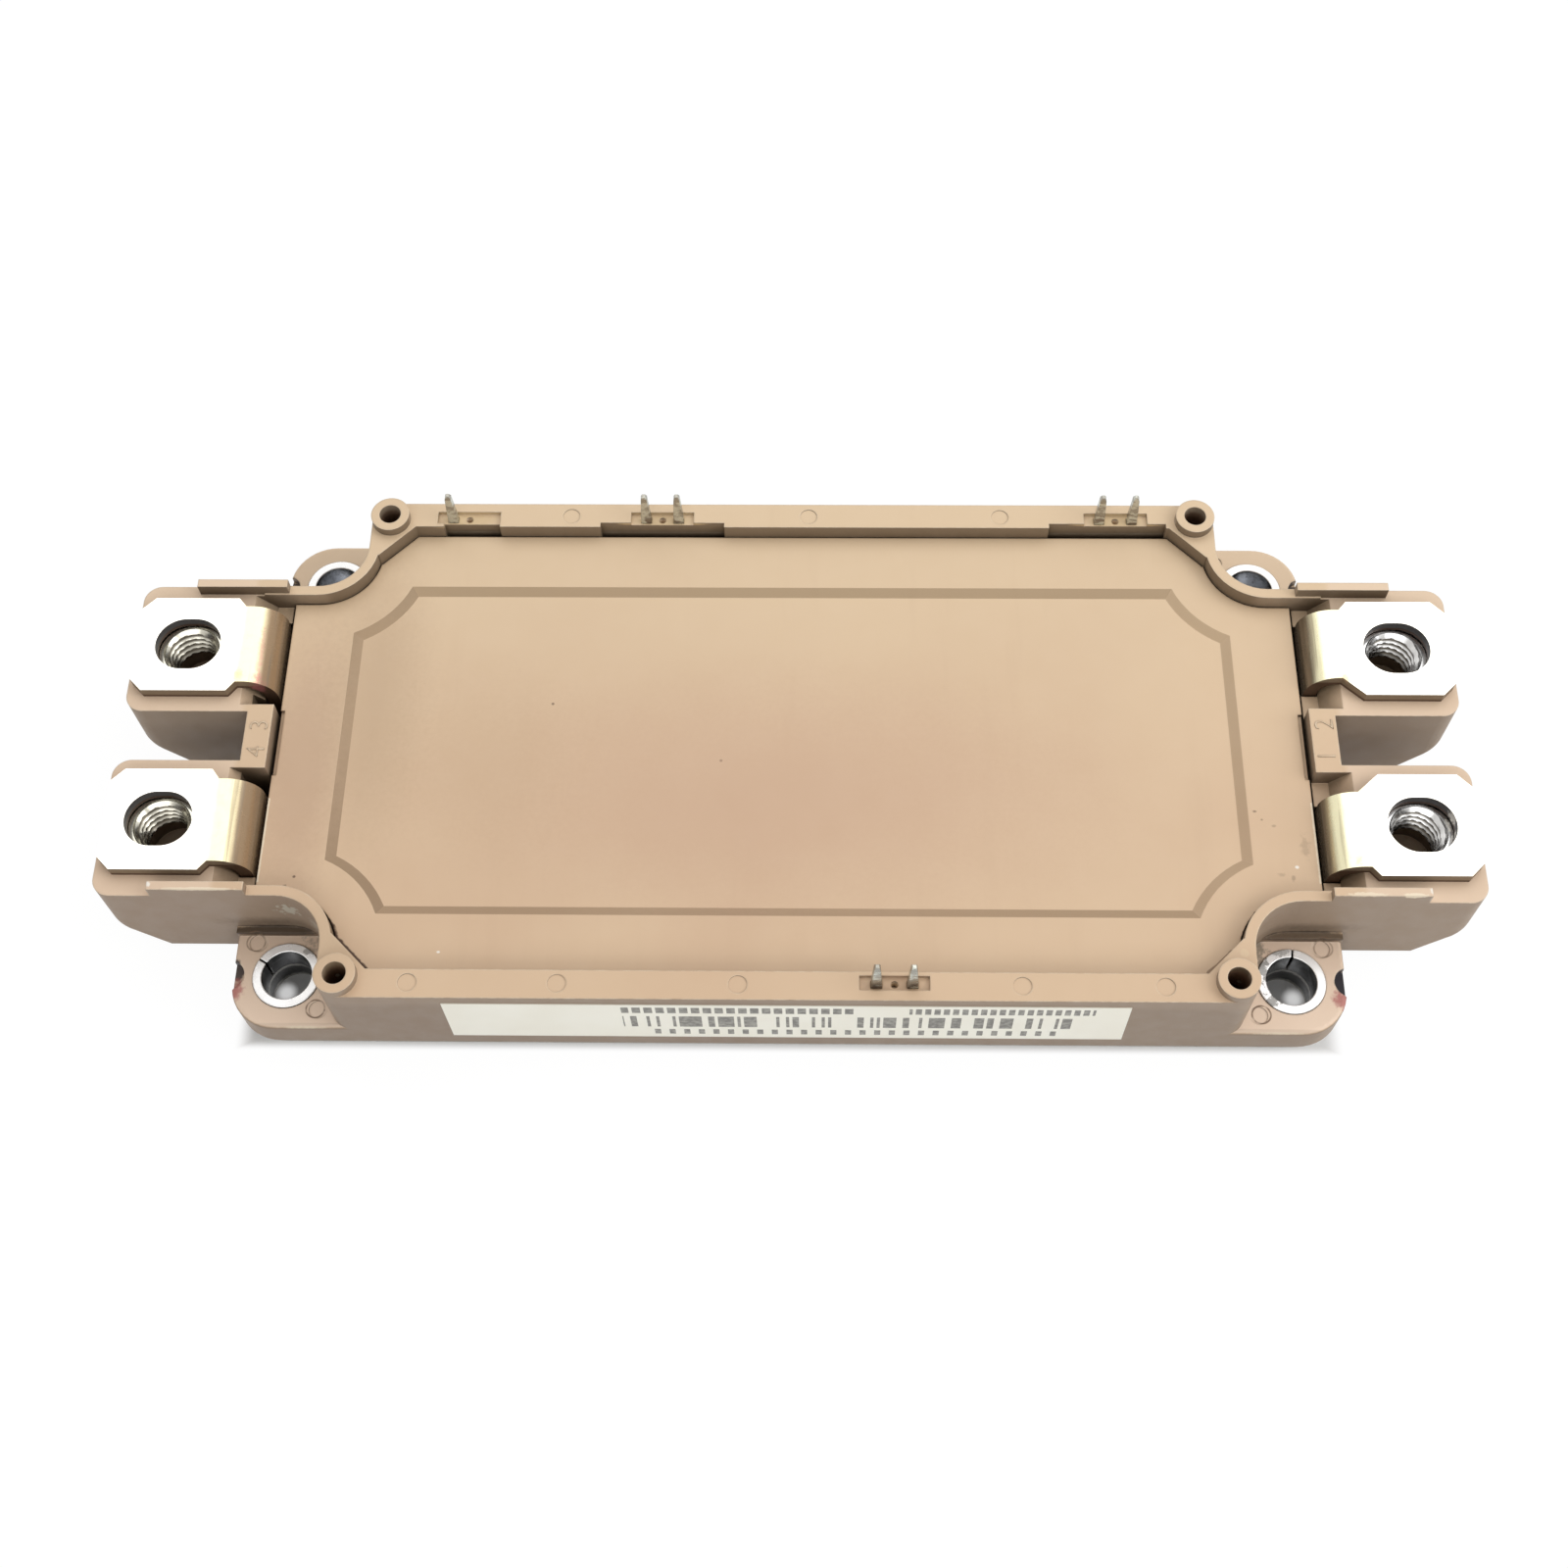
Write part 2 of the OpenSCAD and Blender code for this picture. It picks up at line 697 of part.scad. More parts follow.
// Quarter of a ring about the origin, from the X axis to the Z axis
module quarter_ring(r_in, r_out) {
    intersection() {
        difference() {
            circle(r_out);
            circle(r_in);
        }
        square(r_out + 1);
    }
}

// Side view of a terminal from its screw pad down to its foot
module terminal_profile() {
    translate([bend_x - eps, deck_h]) square([term_x + pad_reach - bend_x + eps, term_t]);
    translate([bend_x, bend_z]) mirror([1, 0]) quarter_ring(bend_r, bend_r + term_t);
    translate([leg_x, sole_bend_z - eps]) square([term_t, bend_z - sole_bend_z + 2 * eps]);
    translate([sole_bend_x, sole_bend_z]) {
        mirror([0, 1]) quarter_ring(sole_bend_r, sole_bend_r + term_t);
    }
    translate([sole_end, top_z]) square([sole_bend_x - sole_end + eps, term_t]);
}

// Top view of a terminal on side s
module terminal_plan(s) {
    tip = term_x + pad_reach;
    neck_y1 = pad_y1 - neck_out;
    step_x = bend_x + neck_step_x;
    in_x = s < 0 ? step_x : bend_x + ledge_web;
    in_l = s < 0 ? neck_step_l : neck_taper_l;
    sole_y0 = term_y + sole_shift - sole_w / 2;
    sole_y1 = sole_y0 + sole_w;
    taper_x = sole_bend_x - sole_taper_l;
    c = pad_chamfer;
    difference() {
        polygon([
            [tip, pad_y0 + c], [tip, pad_y1 - c], [tip - c, pad_y1],
            [step_x + neck_step_l, pad_y1], [step_x, neck_y1], [sole_bend_x, neck_y1],
            [taper_x, sole_y1], [sole_end - 1, sole_y1], [sole_end - 1, sole_y0],
            [taper_x, sole_y0], [sole_bend_x, neck_in(s)],
            [in_x, neck_in(s)], [in_x + in_l, pad_y0], [tip - c, pad_y0]
        ]);
        translate([term_x, term_y]) screw_slot();
    }
}

// Oblong hole for the terminal screw
module screw_slot() {
    half = (term_hole_l - term_hole_w) / 2;
    for (s = [-1, 1]) translate([s * half, 0]) circle(d = term_hole_w);
    square([2 * half, term_hole_w], center = true);
}

module terminal(i) {
    color(tinned) at_corner(i) intersection() {
        along_y(0, case_y) terminal_profile();
        linear_extrude(term_h + 1) terminal_plan(corner_x[i]);
    }
}

module nut(i) {
    tip_d = nut_af / cos(30);
    slope = (tip_d - nut_af) / 2 * tan(30);
    color(steel) translate([corner_x[i] * term_x, corner_y[i] * term_y, nut_floor]) difference() {
        intersection() {
            cylinder(h = nut_h, d = tip_d, $fn = 6);
            union() {
                cylinder(h = slope + eps, d1 = nut_af, d2 = tip_d + 2 * eps / tan(30));
                translate([0, 0, slope]) cylinder(h = nut_h - 2 * slope, d = tip_d + 1);
                translate([0, 0, nut_h - slope - eps]) {
                    cylinder(h = slope + eps, d1 = tip_d + 2 * eps / tan(30), d2 = nut_af);
                }
            }
        }
        translate([0, 0, -1]) cylinder(h = nut_h + 2, d = nut_bore);
        translate([0, 0, nut_h - thread_chamfer]) {
            cylinder(h = thread_chamfer + eps, d1 = nut_bore, d2 = nut_bore + 2 * thread_chamfer);
        }
    }
}

// Control pin: a tapered post through the rail and a foot on the shelf
module control_pin(p) {
    half = pin_w / 2;
    shoulder_z = rim_h + pin_taper_rise;
    foot_y = cavity_y - pin_foot_l;
    color(tinned) translate([p[0], 0, 0]) mirror([0, p[1] < 0 ? 1 : 0, 0]) {
        intersection() {
            along_y(pin_row_y - pin_t / 2, pin_row_y + pin_t / 2) polygon([
                [-half, shelf_h], [half, shelf_h], [half, shoulder_z],
                [pin_shoulder_w / 2, pin_tip_h - pin_point_l], [pin_tip_w / 2, pin_tip_h],
                [-pin_tip_w / 2, pin_tip_h], [-pin_shoulder_w / 2, pin_tip_h - pin_point_l],
                [-half, shoulder_z]
            ]);
            along_x(-pin_w, pin_w) polygon([
                [pin_row_y - pin_t / 2, 0], [pin_row_y + pin_t / 2, 0],
                [pin_row_y + pin_t / 2, pin_tip_h - pin_point_l],
                [pin_row_y + pin_tip_w / 2, pin_tip_h], [pin_row_y - pin_tip_w / 2, pin_tip_h],
                [pin_row_y - pin_t / 2, pin_tip_h - pin_point_l]
            ]);
        }
        span([-half, foot_y, shelf_h], [half, pin_row_y, shelf_h + pin_t]);
    }
}

// Middle of a cell along X; cell 0 is on the left
function cell_x(i) = (i - 1) * sub_pitch;

// Mirrors the chips of the left cell, to leave room for the terminal feet
function chip_side(i) = i == 0 ? -1 : 1;

// Cell that pin p belongs to
function pin_cell(p) = p[0] < -sub_pitch / 2 ? 0 : p[0] > sub_pitch / 2 ? 2 : 1;

// Place of pin p along its own cell, kept on the copper
function pad_x(p) = let (limit = (track_l - signal_pad_l) / 2)
    max(-limit, min(limit, p[0] - cell_x(pin_cell(p))));

// Where the signal wire of pin p lands: on its own pad, or on a pad of the sensor
function landing(p) = p[1] > 0
    ? [cell_x(pin_cell(p)) + pad_x(p), (track_w - strip_w) / 2]
    : [sensor_x + sign(p[0] - pin_sets[3][0] * pin_grid) * sensor_pad_x,
       -track_w / 2 + signal_land];

// Rectangle from its lowest to its highest corner
module field(low, high) {
    translate(low) square(high - low);
}

// Outline of the copper tracks of cell i, about the cell's own middle
module track_plan(i) {
    half = track_l / 2;
    lane_x = half - (i == 2 ? output_column + lane_gap : 0);
    field([-half, plus_y0], [lane_x, lane_end_y]);
    field([-half, out_y0], [half, out_y1]);
    field([-half, -lane_end_y], [lane_x, minus_y1]);
    if (i == 2) field([half - output_column, -lane_end_y], [half, lane_end_y]);
    for (p = pins) if (p[1] > 0 && pin_cell(p) == i) {
        field([pad_x(p) - signal_pad_l / 2, track_w / 2 - strip_w],
              [pad_x(p) + signal_pad_l / 2, track_w / 2]);
    }
    if (i == 1) for (s = [-1, 1]) translate([sensor_x + s * sensor_pad_x, 0]) {
        field([-sensor_pad_l / 2, -track_w / 2], [sensor_pad_l / 2, -track_w / 2 + strip_w]);
    }
}

module backing_copper(i) {
    color(copper) translate([cell_x(i) - track_l / 2, -track_w / 2, base_t]) {
        cube([track_l, track_w, copper_t]);
    }
}

module ceramic_plate(i) {
    color(ceramic) translate([cell_x(i) - sub_l / 2, -sub_w / 2, base_t + copper_t]) {
        cube([sub_l, sub_w, ceramic_t]);
    }
}

module track_copper(i) {
    color(copper) translate([cell_x(i), 0, track_z]) linear_extrude(copper_t) track_plan(i);
}

// Two square chips of cell i, the upper and the lower switch
module igbt_chips(i) {
    color(silicon) for (y = [upper_y, lower_y]) {
        translate([cell_x(i) + chip_side(i) * igbt_x - igbt_s / 2, y - igbt_s / 2, top_z]) {
            cube([igbt_s, igbt_s, chip_t]);
        }
    }
}

// Two diodes of cell i, one for each switch
module diode_chips(i) {
    color(silicon) for (y = [upper_y, lower_y]) {
        translate([cell_x(i) + chip_side(i) * diode_x - diode_w / 2, y - igbt_s / 2, top_z]) {
            cube([diode_w, igbt_s, chip_t]);
        }
    }
}

// Arched wire between points a and b
module wire(a, b, rise) {
    d = b - a;
    span_l = norm(d);
    r = (span_l * span_l / 4 + rise * rise) / (2 * rise);
    half = asin(span_l / 2 / r);
    translate((a + b) / 2) rotate([0, -atan2(d[2], norm([d[0], d[1]])), atan2(d[1], d[0])]) {
        translate([0, 0, rise - r]) rotate([90, 0, 0]) rotate(90 - half) {
            rotate_extrude(angle = 2 * half) translate([r, 0]) circle(d = wire_d, $fn = 6);
        }
    }
}

// Ends of the wires of one chip at height y: on the chip and on the lane below it
function wire_ends(y) = [y - wire_land, y > out_y1 ? out_y1 - lane_land : minus_y];

// Four wires from each IGBT chip and three from each diode of cell i
module bond_wires(i) {
    color(aluminium) difference() {
        intersection() {
            for (y = [upper_y, lower_y]) translate([cell_x(i), 0, top_z]) {
                for (k = [0 : 3]) {
                    x = chip_side(i) * igbt_x + (k - 1.5) * wire_step;
                    wire([x, wire_ends(y)[0], 0], [x, wire_ends(y)[1], 0], wire_rise);
                }
                for (k = [-1 : 1]) {
                    x = chip_side(i) * diode_x + k * diode_wire_step;
                    wire([x, wire_ends(y)[0], 0], [x, wire_ends(y)[1], 0], wire_rise);
                }
            }
            span([-far, -far, top_z], [far, far, far]);
        }
        igbt_chips(i);
        diode_chips(i);
    }
}

// Wires that join the lanes of neighbouring substrates
module link_wires() {
    reach = sub_gap / 2 + ceramic_edge + link_land;
    rows = [
        for (k = [0 : 3]) upper_y + (k - 1.5) * wire_step,
        for (k = [0 : 3]) (out_y0 + out_y1) / 2 + (k - 1.5) * wire_step,
        for (k = [-1 : 1]) minus_y + k * link_step
    ];
    color(aluminium) intersection() {
        for (s = [-1, 1], y = rows) translate([s * sub_pitch / 2, 0, top_z]) {
            wire([-reach, y, 0], [reach, y, 0], wire_rise);
        }
        span([-far, -far, top_z], [far, far, far]);
    }
}

// Wires from the feet of the control pins to the tracks
module signal_wires() {
    color(aluminium) difference() {
        intersection() {
            for (p = pins) {
                wire([p[0], p[1] * (cavity_y - pin_land), shelf_h + pin_t],
                     [landing(p)[0], landing(p)[1], top_z], signal_rise);
            }
            span([-far, -far, top_z], [far, far, far]);
        }
        for (p = pins) control_pin(p);
    }
}

// Glass-bodied sensor with an end cap on each pad
module thermistor() {
    color(glass) translate([sensor_x - sensor_l / 2, sensor_y, top_z + sensor_d / 2]) {
        rotate([0, 90, 0]) {
            translate([0, 0, sensor_cap_l / 2]) {
                cylinder(h = sensor_l - sensor_cap_l, d = sensor_d - sensor_cap_rise);
            }
            for (z = [0, sensor_l - sensor_cap_l]) {
                translate([0, 0, z]) cylinder(h = sensor_cap_l, d = sensor_d);
            }
        }
    }
}

// Soft filling over the substrates; the wires lie in clear boxes, all else fits closely
module gel_filling() {
    box_z = top_z + wire_rise + wire_d;
    chips_x = max(-igbt_x + igbt_s / 2, diode_x + diode_w / 2);
    chips_y0 = wire_ends(lower_y)[1] - gel_box_margin;
    link_x = sub_gap / 2 + ceramic_edge + link_land + gel_box_margin;
    color(gel_blue) difference() {
        union() {
            translate([0, 0, shelf_h]) linear_extrude(gel_h - shelf_h) seat_plan(lid_seat_w);
            translate([0, 0, base_t]) linear_extrude(shelf_h - base_t) intersection() {
                seat_plan(lid_seat_w);
                square([case_l, 2 * (cavity_y - shelf_w)], center = true);
            }
        }
        for (i = [0 : 2]) {
            backing_copper(i);
            ceramic_plate(i);
            track_copper(i);
            igbt_chips(i);
            diode_chips(i);
            span([cell_x(i) - chips_x, chips_y0, top_z],
                 [cell_x(i) + chips_x, upper_y, box_z]);
        }
        for (s = [-1, 1]) translate([s * sub_pitch / 2, 0, 0]) {
            span([-link_x, -lane_end_y, top_z], [link_x, lane_end_y, box_z]);
        }
        for (p = pins) {
            control_pin(p);
            q = landing(p);
            end_y = q[1] - p[1] * gel_box_margin;
            span([min(p[0], q[0]) - gel_box_margin, min(end_y, p[1] * cavity_y), top_z],
                 [max(p[0], q[0]) + gel_box_margin, max(end_y, p[1] * cavity_y), gel_h - gel_cover]);
        }
        for (i = [0 : 3]) terminal(i);
        thermistor();
    }
}

case_frame();
lid();
base_plate();
label();
for (i = [0 : 3]) {
    bush(i);
    terminal(i);
    nut(i);
}
for (i = [0 : len(pins) - 1]) {
    control_pin(pins[i]);
}
for (i = [0 : 2]) {
    backing_copper(i);
    ceramic_plate(i);
    track_copper(i);
    igbt_chips(i);
    diode_chips(i);
    bond_wires(i);
}
link_wires();
signal_wires();
thermistor();
gel_filling();
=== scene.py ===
import math

import bmesh
import bpy
import numpy as np
from mathutils import Euler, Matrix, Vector


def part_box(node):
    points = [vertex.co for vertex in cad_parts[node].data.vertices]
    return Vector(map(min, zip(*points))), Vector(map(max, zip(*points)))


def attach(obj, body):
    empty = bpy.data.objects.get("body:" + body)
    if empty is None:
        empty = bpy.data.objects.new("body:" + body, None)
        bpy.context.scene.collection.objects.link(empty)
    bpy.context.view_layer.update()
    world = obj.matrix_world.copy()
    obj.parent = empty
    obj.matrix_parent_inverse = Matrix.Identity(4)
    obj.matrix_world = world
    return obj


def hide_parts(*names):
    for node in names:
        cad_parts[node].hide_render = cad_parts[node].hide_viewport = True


# Dual-switch power module with screw terminals, dressed for its photograph.
# Lengths are in metres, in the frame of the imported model: X along the case, Z up.

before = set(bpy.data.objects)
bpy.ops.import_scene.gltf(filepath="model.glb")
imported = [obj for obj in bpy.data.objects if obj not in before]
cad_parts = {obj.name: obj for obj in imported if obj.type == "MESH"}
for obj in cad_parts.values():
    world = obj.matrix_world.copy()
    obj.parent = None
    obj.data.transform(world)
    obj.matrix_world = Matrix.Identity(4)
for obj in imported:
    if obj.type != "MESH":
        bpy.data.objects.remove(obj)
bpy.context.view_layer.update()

MM = 0.001
BODY = "root"
CORNERS = ("front_left", "front_right", "rear_left", "rear_right")

# Camera, fitted to the screws and bosses in the photograph
CAMERA_PLACE = (4.0933 * MM, -109.8302 * MM, 224.7417 * MM)
CAMERA_TURN = (28.9129, 0.7017, 0.6436)
CAMERA_LENS = 48.689
CAMERA_SHIFT = (-0.0047, -0.0580)

# Sizes of the dressed pieces
NUT_FLATS = 10 * MM
NUT_BORE_R = 2.5 * MM
NUT_PITCH = 1.0 * MM
NUT_STEPS_ROUND = 96
NUT_STEPS_DOWN = 84
THREAD_DEPTH = 0.5 * MM
CONE_SLOPE = math.tan(math.radians(30))
EDGE_ROUND = 0.28 * MM
SCREW_PLACE = (68.5 * MM, 11.0 * MM)
HOLE_PLACE = (55.0 * MM, 25.0 * MM)

# Heights and distances from the middle at which the case plastic changes
FOOT_TOP = (6.6 * MM, 7.1 * MM)
CASE_END = (61.0 * MM, 62.0 * MM)
POCKET_FLOOR = (15.0 * MM, 15.2 * MM)
POCKET_INNER = (28.05 * MM, 28.25 * MM)
WEB_INNER = (18.2 * MM, 18.6 * MM)
RAIL_INNER = (28.5 * MM, 28.6 * MM)
LID_BORDER = (13.82 * MM, 13.9 * MM)

# Floor under the module: its dark part, its soft edge, and a painted pool of light seen through
# the holes
UNDER_CASE = (61.0 * MM, 31.0 * MM, 1.0)
UNDER_EDGE = (0.97, 1.01)
FLOOR_GREY = (0.86, 0.86, 0.86, 1.0)
FLOOR_HALF = 6.0
WHITE_SHARE = 0.9
PAINTED_POOL_OFFSET = (1.5 * MM, -0.4 * MM, 0.0)
PAINTED_POOL_REACH = (1.6 * MM, 0.3 * MM)


def low_high(node):
    """Lowest and highest corner of a node as numpy arrays."""
    low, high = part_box(node)
    return np.array(low), np.array(high)


NUT_TOP = float(low_high("nut_front_left")[1][2])
TERMINAL_TOP = float(low_high("terminal_rear_right")[1][2])
BEND_X = 61.8 * MM
LID_END = float(low_high("lid")[1][0]) / MM - 0.1


# Node trees

def add(tree, kind, inputs=None, **settings):
    """Adds a shader node; inputs are values or sockets of other nodes."""
    made = tree.nodes.new("ShaderNode" + kind)
    for name, value in settings.items():
        setattr(made, name, value)
    for name, value in (inputs or {}).items():
        if isinstance(value, bpy.types.NodeSocket):
            tree.links.new(value, made.inputs[name])
        else:
            made.inputs[name].default_value = value
    return made


def maths(tree, operation, *values, clamp=False):
    """One Math node; returns its output socket."""
    inputs = dict(enumerate(values))
    return add(tree, "Math", inputs, operation=operation, use_clamp=clamp).outputs[0]


def vector_maths(tree, operation, *values):
    """One Vector Math node."""
    return add(tree, "VectorMath", dict(enumerate(values)), operation=operation)


def ramp(tree, value, low, high, out_low=0.0, out_high=1.0):
    """Maps value from low..high to out_low..out_high, clamped and eased."""
    inputs = {"Value": value, "From Min": low, "From Max": high,
              "To Min": out_low, "To Max": out_high}
    return add(tree, "MapRange", inputs, interpolation_type="SMOOTHSTEP").outputs["Result"]


def mix_colours(tree, factor, first, second, blend="MIX"):
    """Mixes two colours; returns the output socket."""
    made = add(tree, "Mix", {0: factor, 6: first, 7: second}, data_type="RGBA", blend_type=blend)
    return made.outputs[2]


def place(tree):
    """Object coordinates."""
    return add(tree, "TexCoord").outputs["Object"]


def parts(tree, vector):
    """X, Y and Z of a vector."""
    return add(tree, "SeparateXYZ", {"Vector": vector}).outputs


def stretched(tree, scales):
    """Object coordinates, stretched for a grain that runs one way."""
    return vector_maths(tree, "MULTIPLY", place(tree), scales).outputs[0]


def from_centre(tree, centre, offset=(0.0, 0.0, 0.0)):
    """Distance, seen from above, to the nearest of four places mirrored about the middle."""
    away = [maths(tree, "SUBTRACT", maths(tree, "ABSOLUTE", axis), middle)
            for axis, middle in zip(parts(tree, place(tree)), centre)]
    flat = add(tree, "CombineXYZ", {"X": away[0], "Y": away[1]}).outputs[0]
    return vector_maths(tree, "DISTANCE", flat, offset).outputs["Value"]


def colour(red, green, blue):
    """Linear colour from the 0 to 255 values that it shows on a screen."""
    channels = np.array([red, green, blue]) / 255
    linear = np.where(channels <= 0.04045, channels / 12.92, ((channels + 0.055) / 1.055) ** 2.4)
    return (*linear.tolist(), 1.0)


def dimmed(tint, share):
    """A colour at a share of its brightness."""
    return tuple(share * channel for channel in tint[:3]) + (1.0,)


def new_group(name, inputs, outputs):
    """Empty shader group with float, colour or vector sockets: {name: default or kind}."""
    group = bpy.data.node_groups.new(name, "ShaderNodeTree")
    for label, default in inputs.items():
        kind = "NodeSocketVector" if isinstance(default, tuple) else "NodeSocketFloat"
        group.interface.new_socket(label, in_out="INPUT", socket_type=kind).default_value = default
    for label, kind in outputs.items():
        group.interface.new_socket(label, in_out="OUTPUT", socket_type="NodeSocket" + kind)
    start = group.nodes.new("NodeGroupInput")
    end = group.nodes.new("NodeGroupOutput")
    return group, start.outputs, end.inputs


def set_inputs(tree, node, **values):
    """Sets or links sockets of a node; underscores in names stand for spaces."""
    for name, value in values.items():
        socket = node.inputs[name.replace("_", " ")]
        if isinstance(value, bpy.types.NodeSocket):
            tree.links.new(value, socket)
        else:
            socket.default_value = value


def use_group(tree, group, **values):
    """Places a group in a tree; returns its outputs."""
    made = add(tree, "Group", node_tree=group)
    set_inputs(tree, made, **values)
    return made.outputs


def noise(tree, vector, scale, detail=2.0, roughness=0.5, distortion=0.0):
    """Noise value, about 0.5."""
    inputs = {"Vector": vector, "Scale": scale, "Detail": detail,
              "Roughness": roughness, "Distortion": distortion}
    return add(tree, "TexNoise", inputs).outputs["Fac"]


def make_edge_group():
    """Rounded normal at edges, and a broken mask where the rounding shows."""
    group, given, out = new_group(
        "edge wear and highlight", {"Radius": 0.0002, "Breakup": 600.0, "Amount": 0.5},
        {"Mask": "Float", "Normal": "Vector"})
    bevel = add(group, "Bevel", {"Radius": given["Radius"]}, samples=6)
    flat = add(group, "NewGeometry").outputs["Normal"]
    dot = vector_maths(group, "DOT_PRODUCT", bevel.outputs[0], flat).outputs["Value"]
    edge = ramp(group, maths(group, "SUBTRACT", 1.0, dot), 0.01, 0.16)
    broken = noise(group, place(group), given["Breakup"], 4.0, 0.6)
    worn = ramp(group, broken, maths(group, "SUBTRACT", 0.8, given["Amount"]), 0.75)
    group.links.new(maths(group, "MULTIPLY", edge, worn, clamp=True), out["Mask"])
    group.links.new(bevel.outputs[0], out["Normal"])
    return group


def make_grain_group():
    """Fine spark-eroded grain of a mould with a soft sink over it, as a height."""
    group, given, out = new_group(
        "moulded grain", {"Grain": 9000.0, "Sink": 120.0, "Share": 0.35},
        {"Height": "Float"})
    fine = noise(group, place(group), given["Grain"], 3.0, 0.6)
    broad = noise(group, place(group), given["Sink"], 2.0, 0.5)
    mixed = maths(group, "MULTIPLY_ADD", broad, given["Share"], fine)
    group.links.new(mixed, out["Height"])
    return group


def make_speck_group():
    """Sparse round specks: 1 inside a speck. Density is the share of cells that hold one."""
    group, given, out = new_group(
        "specks", {"Scale": 300.0, "Size": 0.12, "Density": 0.06},
        {"Mask": "Float"})
    cells = add(group, "TexVoronoi", {"Vector": place(group), "Scale": given["Scale"]},
                feature="F1")
    pick = add(group, "SeparateColor", {"Color": cells.outputs["Color"]})
    held = maths(group, "LESS_THAN", pick.outputs[0], given["Density"])
    reach = maths(group, "MULTIPLY", given["Size"],
                  maths(group, "ADD", pick.outputs[1], 0.4))
    near = ramp(group, cells.outputs["Distance"], reach, maths(group, "MULTIPLY", reach, 0.6))
    group.links.new(maths(group, "MULTIPLY", held, near), out["Mask"])
    return group


def make_spot_group():
    """Soft ellipsoid patch: 1 at its centre, with an edge made ragged by a noise about 0.5."""
    group, given, out = new_group(
        "spot", {"Centre": (0.0, 0.0, 0.0), "Reach": (0.001, 0.001, 0.001),
                 "Raggedness": 0.4, "Noise": 0.5, "Softness": 0.5},
        {"Mask": "Float"})
    away = vector_maths(group, "SUBTRACT", place(group), given["Centre"]).outputs[0]
    scaled = vector_maths(group, "DIVIDE", away, given["Reach"]).outputs[0]
    distance = vector_maths(group, "LENGTH", scaled).outputs["Value"]
    rough = maths(group, "MULTIPLY", maths(group, "SUBTRACT", given["Noise"], 0.5),
                  maths(group, "MULTIPLY", given["Raggedness"], 4.0))
    moved = maths(group, "ADD", distance, rough)
    mask = ramp(group, moved, 1.0, maths(group, "SUBTRACT", 1.0, given["Softness"]))
    group.links.new(mask, out["Mask"])
    return group


def make_joint_group():
    """Line along a joint, seen from above: 1 on the straight stretch from Start over Along."""
    group, given, out = new_group(
        "joint", {"Start": (0.0, 0.0, 0.0), "Along": (0.001, 0.0, 0.0), "Width": 0.0002,
                  "Noise": 0.5},
        {"Mask": "Float"})
    flat = vector_maths(group, "MULTIPLY", place(group), (1.0, 1.0, 0.0)).outputs[0]
    away = vector_maths(group, "SUBTRACT", flat, given["Start"]).outputs[0]
    passed = vector_maths(group, "DOT_PRODUCT", away, given["Along"]).outputs["Value"]
    whole = vector_maths(group, "DOT_PRODUCT", given["Along"], given["Along"]).outputs["Value"]
    share = maths(group, "DIVIDE", passed, whole, clamp=True)
    foot = add(group, "VectorMath", {0: given["Along"], 3: share}, operation="SCALE").outputs[0]
    gap = vector_maths(group, "DISTANCE", away, foot).outputs["Value"]
    waver = maths(group, "SUBTRACT", given["Noise"], 0.5)
    moved = maths(group, "MULTIPLY_ADD", waver, given["Width"], gap)
    mask = ramp(group, moved, given["Width"], maths(group, "MULTIPLY", given["Width"], 0.3))
    group.links.new(mask, out["Mask"])
    return group


def make_ring_group():
    """Thin ring round an ejector mark, seen from above: 1 on the circle of Radius."""
    group, given, out = new_group(
        "ring", {"Centre": (0.0, 0.0, 0.0), "Radius": 0.001, "Width": 0.0001, "Noise": 0.5},
        {"Mask": "Float"})
    flat = vector_maths(group, "MULTIPLY", place(group), (1.0, 1.0, 0.0)).outputs[0]
    distance = vector_maths(group, "DISTANCE", flat, given["Centre"]).outputs["Value"]
    off = maths(group, "ABSOLUTE", maths(group, "SUBTRACT", distance, given["Radius"]))
    waver = ramp(group, given["Noise"], 0.3, 0.6, 0.35, 1.0)
    line = ramp(group, off, given["Width"], maths(group, "MULTIPLY", given["Width"], 0.3))
    group.links.new(maths(group, "MULTIPLY", line, waver), out["Mask"])
    return group


EDGE = make_edge_group()
GRAIN = make_grain_group()
SPECKS = make_speck_group()
SPOT = make_spot_group()
JOINT = make_joint_group()
RING = make_ring_group()


def new_material(name):
    """Material with an empty tree, its Principled BSDF joined to the output."""
    made = bpy.data.materials.new(name)
    made.use_nodes = True
    tree = made.node_tree
    tree.nodes.clear()
    surface = add(tree, "BsdfPrincipled")
    output = add(tree, "OutputMaterial")
    tree.links.new(surface.outputs[0], output.inputs["Surface"])
    return made, tree, surface


def bump(tree, height, distance, strength, normal=None):
    """Bump node; distance in metres for a height of 1."""
    inputs = {"Height": height, "Distance": distance, "Strength": strength}
    if normal is not None:
        inputs["Normal"] = normal
    return add(tree, "Bump", inputs).outputs[0]


# Materials

PLASTIC = colour(213, 182, 151)
PLASTIC_PALE = colour(219, 190, 158)
PLASTIC_DARK = colour(196, 165, 135)
PLASTIC_PALER = colour(226, 201, 167)
PLASTIC_LIT = colour(240, 216, 194)
UPRIGHT_SHADE = (0.475, 0.49, 0.535, 1.0)
BAND_SLOPE_SHADE = (0.74, 0.72, 0.69, 1.0)
BAND_SHADE = (0.62, 0.6, 0.57, 1.0)
PALE_WEAR_AND_HIGHLIGHT = colour(246, 230, 204)
GRIME_AND_SHADE = colour(94, 77, 56)
DEEP_SHADE = colour(34, 26, 20)
NOTCH_INK_AND_SHADE = colour(38, 34, 42)
INK_RED = colour(182, 112, 108)
DUST_AND_GLINT = colour(190, 184, 168)
FOOT_GREY = colour(128, 120, 106)
BORE_SHADE_BROWN = colour(124, 94, 74)
SHADOWED = colour(62, 50, 38)
WEB_OLIVE = colour(192, 168, 138)
